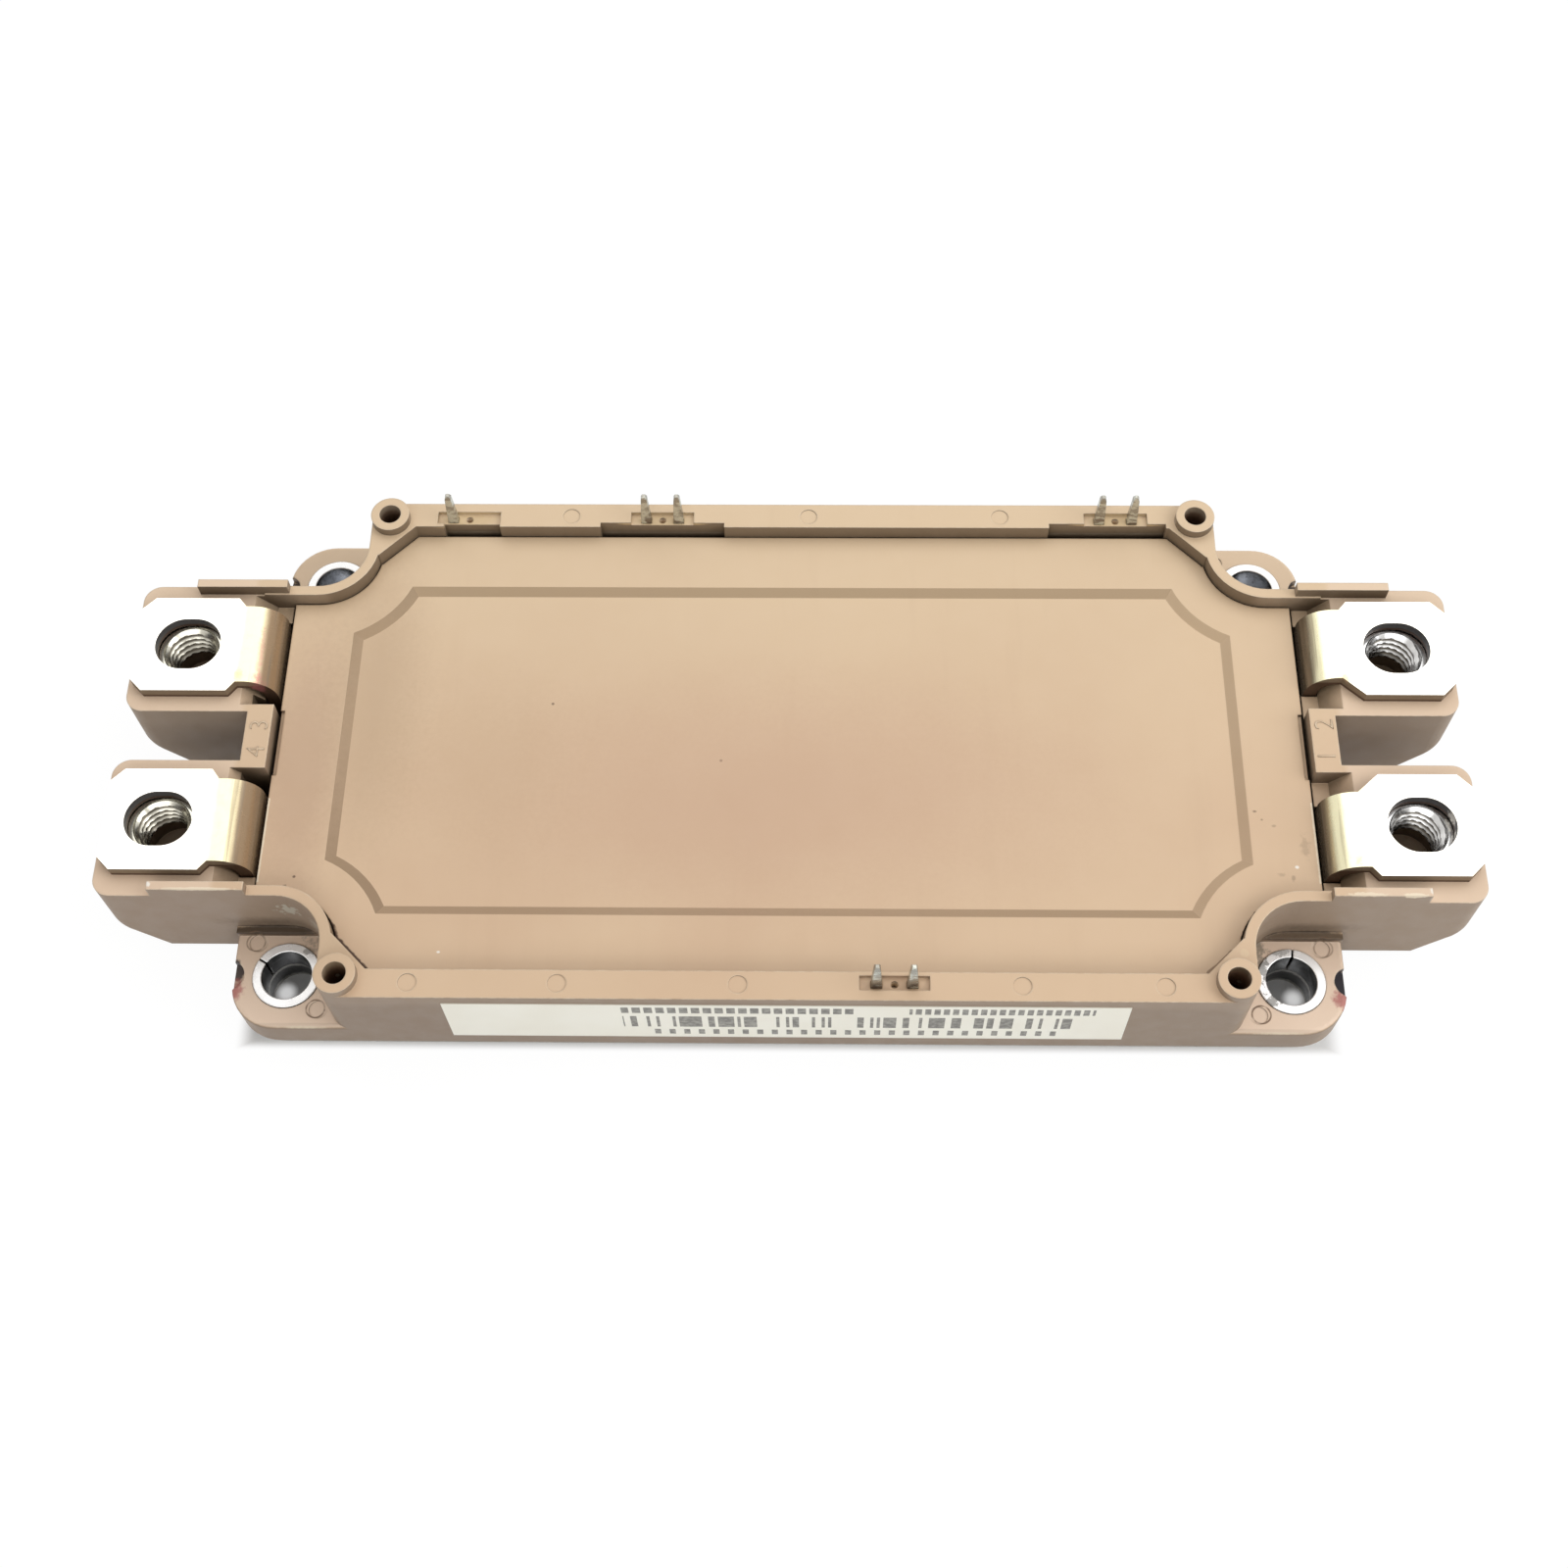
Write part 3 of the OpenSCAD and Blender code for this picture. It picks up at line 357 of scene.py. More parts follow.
JOINT_SHADOW_BROWN = colour(150, 122, 95)
JOINT_SHADOW = colour(78, 54, 38)
RING_DARK = colour(120, 94, 72)
SPARE_HOLE = colour(250, 230, 204)
POCKET = colour(208, 182, 140)
SPECK_DARK = colour(104, 84, 68)
SPECK_PALE = colour(252, 246, 236)
PANEL_MIDDLE = colour(202, 166, 140)
PANEL_LEFT_SHADE = colour(200, 170, 138)
PANEL_END_SHADE = colour(186, 158, 128)
BORDER_LEFT_SHADE = colour(188, 156, 130)
STEEL = colour(254, 254, 254)
NICKEL = colour(205, 203, 198)
HIDDEN_SHADE = colour(62, 52, 44)
BLACKENED = colour(84, 80, 72)
BORE_BLUE = colour(232, 238, 250)
WALL_SHADE_DARK = colour(46, 48, 52)
WALL_SHADE_PALE = colour(112, 114, 116)
THREAD_DARK = colour(74, 68, 58)
TIN = colour(252, 249, 240)
TIN_YELLOW_REFLECTION = colour(224, 216, 178)
BRONZE = colour(186, 160, 130)
LEG_BROWN = colour(158, 132, 102)
LEG_GREY = colour(100, 88, 72)
TIN_CREAM_REFLECTION = colour(233, 227, 192)
HOLE_WALL = colour(88, 86, 86)
SHEARED = colour(134, 118, 98)
PINK = colour(186, 112, 112)
ZINC = colour(224, 224, 224)
ZINC_YELLOW = colour(214, 211, 198)
PIN_TIN = colour(200, 203, 194)
PIN_BROWN = colour(104, 86, 72)
PAPER = colour(254, 252, 240)
PAPER_DULL = colour(250, 247, 233)
PRINT = colour(52, 48, 46)

# Marks on the case: centre and reach in millimetres, colour, raggedness, softness, strength
CASE_MARKS = (
    # Notches in the feet: red ink, and dark ink with painted shade
    ((-60.7, -24.0, 5.4), (0.8, 1.4, 1.6), NOTCH_INK_AND_SHADE, 0.12, 0.3, 0.9),
    ((-60.5, -26.4, 5.8), (1.2, 1.9, 2.2), INK_RED, 0.3, 0.6, 0.9),
    ((60.3, -27.0, 5.9), (1.3, 1.5, 1.8), INK_RED, 0.3, 0.5, 0.9),
    ((60.9, -25.1, 5.6), (1.5, 1.9, 1.5), NOTCH_INK_AND_SHADE, 0.1, 0.15, 1.0),
    ((-60.7, 25.7, 5.6), (1.1, 0.9, 1.4), NOTCH_INK_AND_SHADE, 0.2, 0.3, 0.85),
    ((60.7, 25.7, 5.6), (1.1, 0.9, 1.4), NOTCH_INK_AND_SHADE, 0.2, 0.3, 0.9),
    ((-54.2, -19.6, 12.2), (1.4, 0.7, 1.3), DUST_AND_GLINT, 0.9, 0.4, 0.85),
    ((-51.2, -20.6, 10.4), (1.1, 1.1, 2.2), DUST_AND_GLINT, 0.95, 0.6, 0.5),
    # Grey patches on the feet between the bush rims and the wall
    ((50.7, -22.0, 6.5), (2.2, 3.4, 0.6), FOOT_GREY, 0.7, 0.6, 0.75),
    ((-51.4, -21.2, 6.5), (2.4, 1.6, 0.5), FOOT_GREY, 0.8, 0.7, 0.5),
    ((48.24, -25.46, 15.8), (0.55, 0.55, 0.2), PLASTIC_PALER, 0.1, 0.3, 0.6),
    # Painted highlights on the top of the right barrier
    ((66.5, -19.4, 17.1), (1.6, 0.35, 0.4), PALE_WEAR_AND_HIGHLIGHT, 0.35, 0.3, 0.9),
    ((61.5, -19.3, 17.2), (2.4, 0.3, 0.3), PALE_WEAR_AND_HIGHLIGHT, 0.4, 0.4, 0.7),
    ((68.4, -18.9, 16.4), (0.5, 0.6, 1.1), SPECK_PALE, 0.3, 0.3, 0.9),
    ((-68.4, -18.9, 16.4), (0.5, 0.6, 1.1), SPECK_PALE, 0.3, 0.3, 0.9),
    # Painted highlight on the top of the left barrier
    ((-63.0, -19.4, 17.2), (4.6, 0.25, 0.3), PALE_WEAR_AND_HIGHLIGHT, 0.25, 0.4, 0.8),
    # Painted shade: the walls of the boss bores brown
    ((-47.25, -28.75, 14.0), (2.0, 2.0, 3.0), BORE_SHADE_BROWN, 0.03, 0.2, 0.9),
    ((47.25, -28.75, 14.0), (2.0, 2.0, 3.0), BORE_SHADE_BROWN, 0.03, 0.2, 0.9),
    ((-47.25, 28.75, 14.0), (2.0, 2.0, 3.0), BORE_SHADE_BROWN, 0.03, 0.2, 0.7),
    ((47.25, 28.75, 14.0), (2.0, 2.0, 3.0), BORE_SHADE_BROWN, 0.03, 0.2, 0.7),
    # Painted glints: pale streaks on the walls of the boss bores
    ((-47.7, -27.6, 13.3), (0.3, 0.4, 0.5), DUST_AND_GLINT, 0.2, 0.5, 0.9),
    ((47.9, -27.7, 13.3), (0.3, 0.4, 0.5), DUST_AND_GLINT, 0.2, 0.5, 0.9),
    ((-38.1, 29.05, 15.52), (6.5, 1.8, 0.3), POCKET, 0.05, 0.25, 0.8),
    ((-15.24, 29.05, 15.52), (6.5, 1.8, 0.3), POCKET, 0.05, 0.25, 0.8),
    ((38.1, 29.05, 15.52), (6.5, 1.8, 0.3), POCKET, 0.05, 0.25, 0.8),
    ((11.43, -29.05, 15.52), (6.5, 1.8, 0.3), PLASTIC_DARK, 0.05, 0.25, 0.8),
    ((-38.1, 29.05, 14.5), (0.6, 0.5, 1.2), SPARE_HOLE, 0.02, 0.2, 0.95),
    ((-15.24, 29.05, 14.5), (0.6, 0.5, 1.2), SPARE_HOLE, 0.02, 0.2, 0.95),
    ((38.1, 29.05, 14.5), (0.6, 0.5, 1.2), SPARE_HOLE, 0.02, 0.2, 0.95),
    ((11.43, -29.05, 14.5), (0.6, 0.5, 1.2), SPARE_HOLE, 0.02, 0.2, 0.95),
    # Painted highlight along the front edges of the feet
    ((-52.5, -31.0, 6.4), (4.6, 0.3, 0.4), PALE_WEAR_AND_HIGHLIGHT, 0.15, 0.5, 0.9),
    ((53.4, -31.0, 6.4), (5.0, 0.3, 0.4), PALE_WEAR_AND_HIGHLIGHT, 0.15, 0.5, 0.9),
    ((0.0, -31.0, 7.0), (90.0, 0.8, 8.6), SHADOWED, 0.0, 0.2, 0.16),
    ((-50.0, -25.0, 16.4), (9.0, 8.0, 2.4), WEB_OLIVE, 0.1, 0.8, 0.5),
    ((-57.0, -20.5, 8.5), (8.0, 4.0, 1.9), SHADOWED, 0.15, 1.0, 0.6),
    ((57.0, -20.5, 8.5), (8.0, 4.0, 1.9), SHADOWED, 0.15, 1.0, 0.6),
    ((-56.8, -20.1, 7.2), (6.4, 1.0, 0.8), SHADOWED, 0.1, 0.4, 0.9),
    ((57.0, -20.1, 7.2), (6.4, 1.0, 0.8), SHADOWED, 0.1, 0.4, 0.8),
)

# Outlines of the ejector marks on the front feet: centre in millimetres, strength
CASE_RINGS = (
    (-51.4, -28.8, 0.85), (51.4, -28.8, 0.95), (-58.9, -21.1, 0.6), (58.9, -21.1, 0.55),
)

# Marks on the lid, in the same form
LID_MARKS = (
    ((0.0, -6.0, 13.3), (46.0, 20.0, 2.0), PANEL_MIDDLE, 0.1, 0.9, 0.5),
    # Painted shade: the left end of the lid darker
    ((-54.5, -3.0, 13.8), (6.0, 24.0, 2.0), BORDER_LEFT_SHADE, 0.1, 0.8, 0.55),
    ((-34.0, -2.0, 13.3), (14.0, 16.0, 2.0), PANEL_LEFT_SHADE, 0.15, 0.9, 0.3),
    ((-47.5, 6.0, 13.3), (8.5, 28.0, 2.0), PANEL_END_SHADE, 0.1, 0.9, 0.5),
    ((42.47, -21.6, 13.3), (0.28, 0.2, 0.4), SPECK_PALE, 0.2, 0.6, 0.9),
    ((-37.14, -25.07, 13.8), (0.26, 0.18, 0.3), SPECK_PALE, 0.2, 0.6, 0.9),
    ((55.24, -14.67, 13.8), (0.3, 0.24, 0.3), SPECK_PALE, 0.2, 0.6, 0.9),
    ((-53.66, -16.4, 13.8), (0.2, 0.17, 0.3), SPECK_DARK, 0.2, 0.5, 0.9),
    ((-54.54, -17.45, 13.8), (0.3, 0.22, 0.3), SPECK_DARK, 0.6, 0.6, 0.6),
    ((51.27, -7.98, 13.8), (0.3, 0.22, 0.3), SPECK_DARK, 0.5, 0.7, 0.7),
    ((51.98, -8.99, 13.8), (0.22, 0.18, 0.3), SPECK_DARK, 0.3, 0.7, 0.6),
    ((53.24, -9.76, 13.8), (0.3, 0.2, 0.3), SPECK_DARK, 0.5, 0.8, 0.35),
    ((54.74, -16.0, 13.8), (0.3, 0.45, 0.3), SPECK_DARK, 0.5, 0.8, 0.35),
    ((53.56, -15.61, 13.8), (0.6, 0.35, 0.3), SPECK_DARK, 0.6, 0.8, 0.25),
    ((56.4, -12.2, 13.8), (0.7, 1.6, 0.3), SPECK_DARK, 0.7, 0.9, 0.25),
)

# Lines on the lid, dark joints with painted shadow along the webs and pale worn ends with
# painted highlight: corner points and half width in millimetres, colour
LID_SHADE_AND_EDGE_LINES = (
    (-50.2, -20.3, -49.3, -21.4, 0.18, JOINT_SHADOW), (-49.3, -21.4, -48.8, -22.2, 0.28, JOINT_SHADOW),
    (-48.8, -22.2, -48.4, -23.3, 0.4, JOINT_SHADOW), (-48.4, -23.3, -47.0, -24.7, 0.32, JOINT_SHADOW),
    (-47.0, -24.7, -44.7, -27.0, 0.3, JOINT_SHADOW), (50.2, -20.0, 49.5, -21.1, 0.15, JOINT_SHADOW),
    (49.5, -21.1, 48.8, -22.3, 0.22, JOINT_SHADOW), (48.8, -22.3, 48.5, -23.0, 0.18, JOINT_SHADOW),
    (47.3, -24.4, 46.0, -25.7, 0.17, JOINT_SHADOW_BROWN), (46.0, -25.7, 44.6, -26.9, 0.2, JOINT_SHADOW_BROWN),
    (LID_END, -7.0, LID_END, -16.5, 0.16, PALE_WEAR_AND_HIGHLIGHT),
    (-LID_END, -7.0, -LID_END, -17.0, 0.16, PALE_WEAR_AND_HIGHLIGHT),
)

# Marks on the terminals, in the form of the marks on the case
TERMINAL_MARKS = (
    ((-60.2, 9.6, 16.4), (0.5, 5.4, 1.0), PINK, 0.4, 0.8, 0.45),
    ((-60.2, 6.4, 15.6), (1.1, 1.5, 1.8), PINK, 0.4, 0.7, 0.6),
    ((-62.2, 7.0, 17.0), (0.7, 1.0, 0.8), BRONZE, 0.6, 0.8, 0.6),
    ((62.3, 6.8, 17.0), (0.9, 0.9, 0.8), BRONZE, 0.6, 0.8, 0.6),
    ((61.2, -15.2, 16.8), (0.5, 0.8, 0.8), BRONZE, 0.6, 0.8, 0.5),
    ((72.0, -9.9, 16.3), (0.7, 0.9, 0.8), SPECK_PALE, 0.5, 0.4, 0.9),
    ((72.2, -11.7, 15.9), (0.5, 0.5, 0.5), SPECK_PALE, 0.5, 0.4, 0.9),
)

# Dirt on the rims of the bushes, in the same form
BUSH_MARKS = (
    ((52.0, -23.6, 6.7), (0.9, 1.8, 0.4), BLACKENED, 1.0, 0.3, 0.7),
    ((52.6, -27.2, 6.7), (1.0, 0.9, 0.4), BLACKENED, 1.0, 0.3, 0.75),
    ((53.8, -21.6, 6.7), (1.2, 0.5, 0.4), BLACKENED, 1.0, 0.3, 0.5),
    ((-52.4, -22.0, 6.7), (1.0, 0.6, 0.4), BLACKENED, 1.0, 0.3, 0.6),
    ((-53.2, -21.4, 6.7), (0.18, 0.7, 0.4), BLACKENED, 0.3, 0.4, 0.8),
    ((-55.0, 25.0, 4.0), (4.4, 4.4, 3.6), BORE_BLUE, 0.15, 0.4, 0.9),
    ((55.0, 25.0, 4.0), (4.4, 4.4, 3.6), BORE_BLUE, 0.15, 0.4, 0.7),
)

# Painted shade on the walls of the holes through the base plate, in the same form
BASE_MARKS = tuple(((x, y, 1.5), (3.2, 3.2, 2.6), WALL_SHADE_DARK, 0.03, 0.1, 0.85)
                   for y in (-25.0, 25.0) for x in (-55.0, 55.0))


def painted(tree, base, marks):
    """Lays a list of marks over a base colour."""
    ragged = noise(tree, place(tree), 1500.0, 4.0, 0.65)
    for centre, reach, tint, raggedness, softness, strength in marks:
        mask = use_group(tree, SPOT, Centre=tuple(v * MM for v in centre),
                         Reach=tuple(v * MM for v in reach), Raggedness=raggedness,
                         Noise=ragged, Softness=softness)["Mask"]
        base = mix_colours(tree, maths(tree, "MULTIPLY", mask, strength), base, tint)
    return base


def facing(tree):
    """How a face stands in the model's own frame: X, Y and Z of its normal."""
    return parts(tree, add(tree, "TexCoord").outputs["Normal"])


def open_sky(tree, distance):
    """Share of the sky that a point sees past what lies within a distance."""
    return add(tree, "AmbientOcclusion", {"Distance": distance}, samples=8).outputs["AO"]


def plastic_tone(tree, axes, level):
    """Mottled beige, streaked along Y, with painted light: paler and yellower at the rear, and
    paler on the level tops of the feet and the ends.
    """
    mottle = ramp(tree, noise(tree, place(tree), 40.0, 3.0, 0.5), 0.3, 0.7)
    base = mix_colours(tree, mottle, PLASTIC, PLASTIC_PALE)
    # Painted light: paler and yellower towards the rear
    rear_light = ramp(tree, axes[1], -12.0 * MM, 32.0 * MM, 0.0, 0.8)
    base = mix_colours(tree, rear_light, base, PLASTIC_PALER)
    # Painted light: the level tops of the feet and of the ends paler
    beyond = ramp(tree, maths(tree, "ABSOLUTE", axes[0]), *CASE_END, 0.0, 0.45)
    low = maths(tree, "MULTIPLY", ramp(tree, axes[2], FOOT_TOP[1], FOOT_TOP[0], 0.0, 0.85),
                ramp(tree, axes[1], 0.0, -16.0 * MM, 0.3, 1.0))
    lit_tops = maths(tree, "MULTIPLY", level, maths(tree, "MAXIMUM", low, beyond))
    base = mix_colours(tree, lit_tops, base, PLASTIC_LIT)
    lines = noise(tree, stretched(tree, (260.0, 30.0, 260.0)), 1.0, 3.0, 0.6)
    return mix_colours(tree, ramp(tree, lines, 0.55, 0.8, 0.0, 0.1), base, PLASTIC_DARK)


def band_shaded(tree, base, normal):
    """Paints shade on the sloped band round the lid's panel, most where it faces right."""
    up = normal[2]
    sloped = maths(tree, "MULTIPLY", ramp(tree, up, 0.99, 0.95), ramp(tree, up, 0.75, 0.87))
    base = mix_colours(tree, sloped, base, BAND_SLOPE_SHADE, "MULTIPLY")
    turned = maths(tree, "MULTIPLY", sloped, ramp(tree, normal[0], -0.35, 0.35))
    return mix_colours(tree, turned, base, BAND_SHADE, "MULTIPLY")


def dirt_and_painted_shade(tree, base, axes, normal, level, sky):
    """Dirt and painted shade in the corners, painted shade on the inner walls of the rim above the
    lid, and near-black painted shade in deep gaps.
    """
    across = maths(tree, "ABSOLUTE", axes[1])
    patchy = maths(tree, "MULTIPLY", noise(tree, place(tree), 700.0, 4.0, 0.7), 0.3)
    above = ramp(tree, axes[2], *POCKET_FLOOR)
    below = maths(tree, "MULTIPLY_ADD", above, ramp(tree, across, *POCKET_INNER, 0.0, -0.65), 0.85)
    reach = maths(tree, "MULTIPLY", below, maths(tree, "MULTIPLY_ADD", level, -0.92, 1.0))
    # Dirt and painted shade where little sky is open
    dirt_and_shade = maths(tree, "MULTIPLY", reach,
                 ramp(tree, maths(tree, "ADD", sky, patchy), 1.0, 0.35))
    base = mix_colours(tree, dirt_and_shade, base, GRIME_AND_SHADE)
    # Painted shade on the inner walls of the rim above the lid
    inward = maths(tree, "MULTIPLY", normal[1], maths(tree, "SIGN", axes[1]))
    rim = maths(tree, "MULTIPLY", ramp(tree, across, *WEB_INNER),
                ramp(tree, across, RAIL_INNER[1], RAIL_INNER[0], 0.0, 0.55))
    inner_wall_shade = maths(tree, "MULTIPLY", ramp(tree, inward, -0.1, -0.4), rim)
    inner_wall_shade = maths(tree, "MULTIPLY", inner_wall_shade, ramp(tree, axes[2], *LID_BORDER))
    base = mix_colours(tree, inner_wall_shade, base, GRIME_AND_SHADE)
    # Painted shade, near black, where almost no sky is open
    return mix_colours(tree, ramp(tree, sky, 0.2, 0.03, 0.0, 0.92), base, DEEP_SHADE)


def speckled(tree, base):
    """Sparse dark and pale specks in the plastic."""
    dark = use_group(tree, SPECKS, Scale=260.0, Size=0.07, Density=0.03)["Mask"]
    base = mix_colours(tree, maths(tree, "MULTIPLY", dark, 0.8), base, SPECK_DARK)
    pale = use_group(tree, SPECKS, Scale=190.0, Size=0.045, Density=0.03)["Mask"]
    return mix_colours(tree, pale, base, SPECK_PALE)


def lined(tree, base, joints):
    """Lays a list of lines over a base colour: joints with painted shadow, and edges with painted
    highlight.
    """
    waver = noise(tree, place(tree), 2200.0, 3.0, 0.6)
    for from_x, from_y, to_x, to_y, width, tint in joints:
        line = use_group(tree, JOINT, Start=(from_x * MM, from_y * MM, 0.0), Width=width * MM,
                         Along=((to_x - from_x) * MM, (to_y - from_y) * MM, 0.0),
                         Noise=waver)["Mask"]
        base = mix_colours(tree, line, base, tint)
    return base


def ringed(tree, base, rings, level):
    """Lays the outlines of ejector marks over the level faces."""
    broken = noise(tree, place(tree), 1300.0, 3.0, 0.6)
    for centre_x, centre_y, strength in rings:
        ring = use_group(tree, RING, Centre=(centre_x * MM, centre_y * MM, 0.0), Radius=1.0 * MM,
                         Width=0.14 * MM, Noise=broken)["Mask"]
        ring = maths(tree, "MULTIPLY", maths(tree, "MULTIPLY", ring, level), strength)
        base = mix_colours(tree, ring, base, RING_DARK)
    return base


def moulded_plastic(name, marks, wear, is_lid):
    """Beige filled plastic: soft mottling, grain, painted shade on upright faces, dirt and painted
    shade in their corners, pale edges of wear and painted highlight.
    """
    made, tree, surface = new_material(name)
    axes = parts(tree, place(tree))
    normal = facing(tree)
    level = ramp(tree, normal[2], 0.5, 0.85)
    base = plastic_tone(tree, axes, level)
    # Painted shade: upright faces darker and greyer than level ones
    base = mix_colours(tree, ramp(tree, normal[2], 0.75, 0.25), base, UPRIGHT_SHADE, "MULTIPLY")
    if is_lid:
        base = band_shaded(tree, base, normal)
    edges = use_group(tree, EDGE, Radius=EDGE_ROUND, Breakup=900.0, Amount=wear)
    sky = open_sky(tree, 3.5 * MM)
    # Pale rounded edges: partly wear, partly painted highlight
    outer = maths(tree, "MULTIPLY", edges["Mask"], ramp(tree, sky, 0.8, 0.95))
    base = mix_colours(tree, outer, base, PALE_WEAR_AND_HIGHLIGHT)
    base = dirt_and_painted_shade(tree, base, axes, normal, level, sky)
    base = painted(tree, speckled(tree, base), marks)
    if is_lid:
        base = lined(tree, base, LID_SHADE_AND_EDGE_LINES)
    else:
        base = ringed(tree, base, CASE_RINGS, level)
    rough = ramp(tree, noise(tree, place(tree), 420.0, 3.0, 0.6), 0.2, 0.8, 0.42, 0.56)
    height = use_group(tree, GRAIN)["Height"]
    set_inputs(tree, surface, Base_Color=base, Roughness=rough, Specular_IOR_Level=0.4,
               Normal=bump(tree, height, 0.012 * MM, 0.6, edges["Normal"]))
    return made


def plated_metal(name, tint, low, high, brush, wall, marks, shade=0.0, satin=0.0, cloud=0.2):
    """Plated sheet or turned metal: brushed grain, clouded plating, painted shade on upright walls
    and where it is hidden.
    """
    made, tree, surface = new_material(name)
    where = place(tree)
    brushed = noise(tree, stretched(tree, brush), 1.0, 3.0, 0.6)
    cloudy = ramp(tree, noise(tree, where, 260.0, 3.0, 0.6), 0.35, 0.7)
    base = mix_colours(tree, maths(tree, "MULTIPLY", cloudy, cloud), tint, dimmed(tint, 0.72))
    # Painted shade: upright faces, such as bore walls, mottled dark
    upright = ramp(tree, facing(tree)[2], 0.8, 0.4)
    patches = ramp(tree, noise(tree, where, 330.0, 2.0, 0.5, 1.2), 0.42, 0.62)
    mottled_wall_shade = mix_colours(tree, patches, WALL_SHADE_DARK, WALL_SHADE_PALE)
    base = mix_colours(tree, maths(tree, "MULTIPLY", upright, wall), base, mottled_wall_shade)
    if shade:
        # Painted shade on upright faces that see little sky
        hidden = ramp(tree, open_sky(tree, 2.5 * MM), 0.75, 0.1, 0.0, shade)
        base = mix_colours(tree, maths(tree, "MULTIPLY", hidden, upright), base, HIDDEN_SHADE)
    base = painted(tree, base, marks)
    rough = ramp(tree, maths(tree, "ADD", brushed, maths(tree, "MULTIPLY", cloudy, 0.3)),
                 0.3, 1.0, low, high)
    level = maths(tree, "SUBTRACT", 1.0, upright)
    metal = maths(tree, "MULTIPLY_ADD", level, -satin, 1.0) if satin else 1.0
    set_inputs(tree, surface, Base_Color=base, Roughness=rough, Metallic=metal,
               Normal=bump(tree, brushed, 0.004 * MM, 0.5))
    return made


def tinned_terminal(name, top, bend_x):
    """Tinned sheet: white contact face, a bend turned yellow by painted reflection, bronze legs of
    tarnish and painted reflection, sheared brown edges, painted shade where hidden.
    """
    made, tree, surface = new_material(name)
    where = place(tree)
    axes = parts(tree, where)
    normal = facing(tree)
    lines = noise(tree, stretched(tree, (400.0, 40.0, 400.0)), 1.0, 3.0, 0.6)
    uneven = maths(tree, "MULTIPLY", maths(tree, "SUBTRACT", lines, 0.5), 1.6 * MM)
    along = maths(tree, "ADD", maths(tree, "ABSOLUTE", axes[0]), uneven)
    # Painted reflection: the bend turns yellow, cream on the right
    turned = ramp(tree, along, bend_x + 1.8 * MM, bend_x + 0.4 * MM)
    right = ramp(tree, axes[0], -20.0 * MM, 20.0 * MM)
    base = mix_colours(tree, turned, TIN, mix_colours(tree, right, TIN_YELLOW_REFLECTION, TIN_CREAM_REFLECTION))
    shifted = maths(tree, "MULTIPLY_ADD", right, 1.2 * MM, along)
    # Legs brown: partly tarnish, partly painted reflection
    leg_tarnish_and_reflection = ramp(tree, shifted, bend_x - 1.1 * MM, bend_x - 2.2 * MM)
    base = mix_colours(tree, leg_tarnish_and_reflection, base, mix_colours(tree, right, LEG_BROWN, LEG_GREY))
    folds = noise(tree, stretched(tree, (1500.0, 50.0, 600.0)), 1.0, 2.0, 0.5)
    fold = ramp(tree, folds, 0.5, 0.62, 0.0, 0.6)
    fold = maths(tree, "MULTIPLY", fold, ramp(tree, shifted, bend_x, bend_x - 1.2 * MM))
    base = mix_colours(tree, fold, base, SHEARED)
    level = maths(tree, "ABSOLUTE", normal[2])
    aside = ramp(tree, maths(tree, "ABSOLUTE", normal[1]), 0.2, 0.5)
    plate = ramp(tree, axes[2], top - 1.9 * MM, top - 1.4 * MM)
    beyond = ramp(tree, maths(tree, "ABSOLUTE", axes[0]), 64.0 * MM, 64.5 * MM)
    rim = maths(tree, "MULTIPLY", maths(tree, "MULTIPLY", plate, beyond),
                ramp(tree, level, 0.7, 0.3))
    sheared = maths(tree, "MAXIMUM", aside, rim)
    radius = from_centre(tree, SCREW_PLACE)
    cut = mix_colours(tree, ramp(tree, radius, 4.4 * MM, 4.2 * MM), SHEARED, HOLE_WALL)
    base = mix_colours(tree, sheared, base, cut)
    # Painted shadow: a dark line low on the sheared edges of the plate
    under_shadow = maths(tree, "MULTIPLY", sheared, ramp(tree, axes[2], top - 0.95 * MM, top - 1.2 * MM))
    base = mix_colours(tree, maths(tree, "MULTIPLY", under_shadow, 0.9), base, JOINT_SHADOW)
    # Painted shade where the terminal sees little sky
    hidden = ramp(tree, open_sky(tree, 1.6 * MM), 0.45, 0.1, 0.0, 0.35)
    base = mix_colours(tree, hidden, base, HIDDEN_SHADE)
    base = painted(tree, base, TERMINAL_MARKS)
    rough = ramp(tree, noise(tree, where, 700.0, 3.0, 0.6), 0.3, 0.8, 0.2, 0.34)
    rough = maths(tree, "MULTIPLY_ADD", sheared, 0.25, rough)
    dull = maths(tree, "MULTIPLY", maths(tree, "MAXIMUM", leg_tarnish_and_reflection, sheared), 0.7)
    set_inputs(tree, surface, Base_Color=base, Roughness=rough,
               Metallic=maths(tree, "SUBTRACT", 1.0, dull),
               Normal=bump(tree, lines, 0.006 * MM, 0.4))
    return made


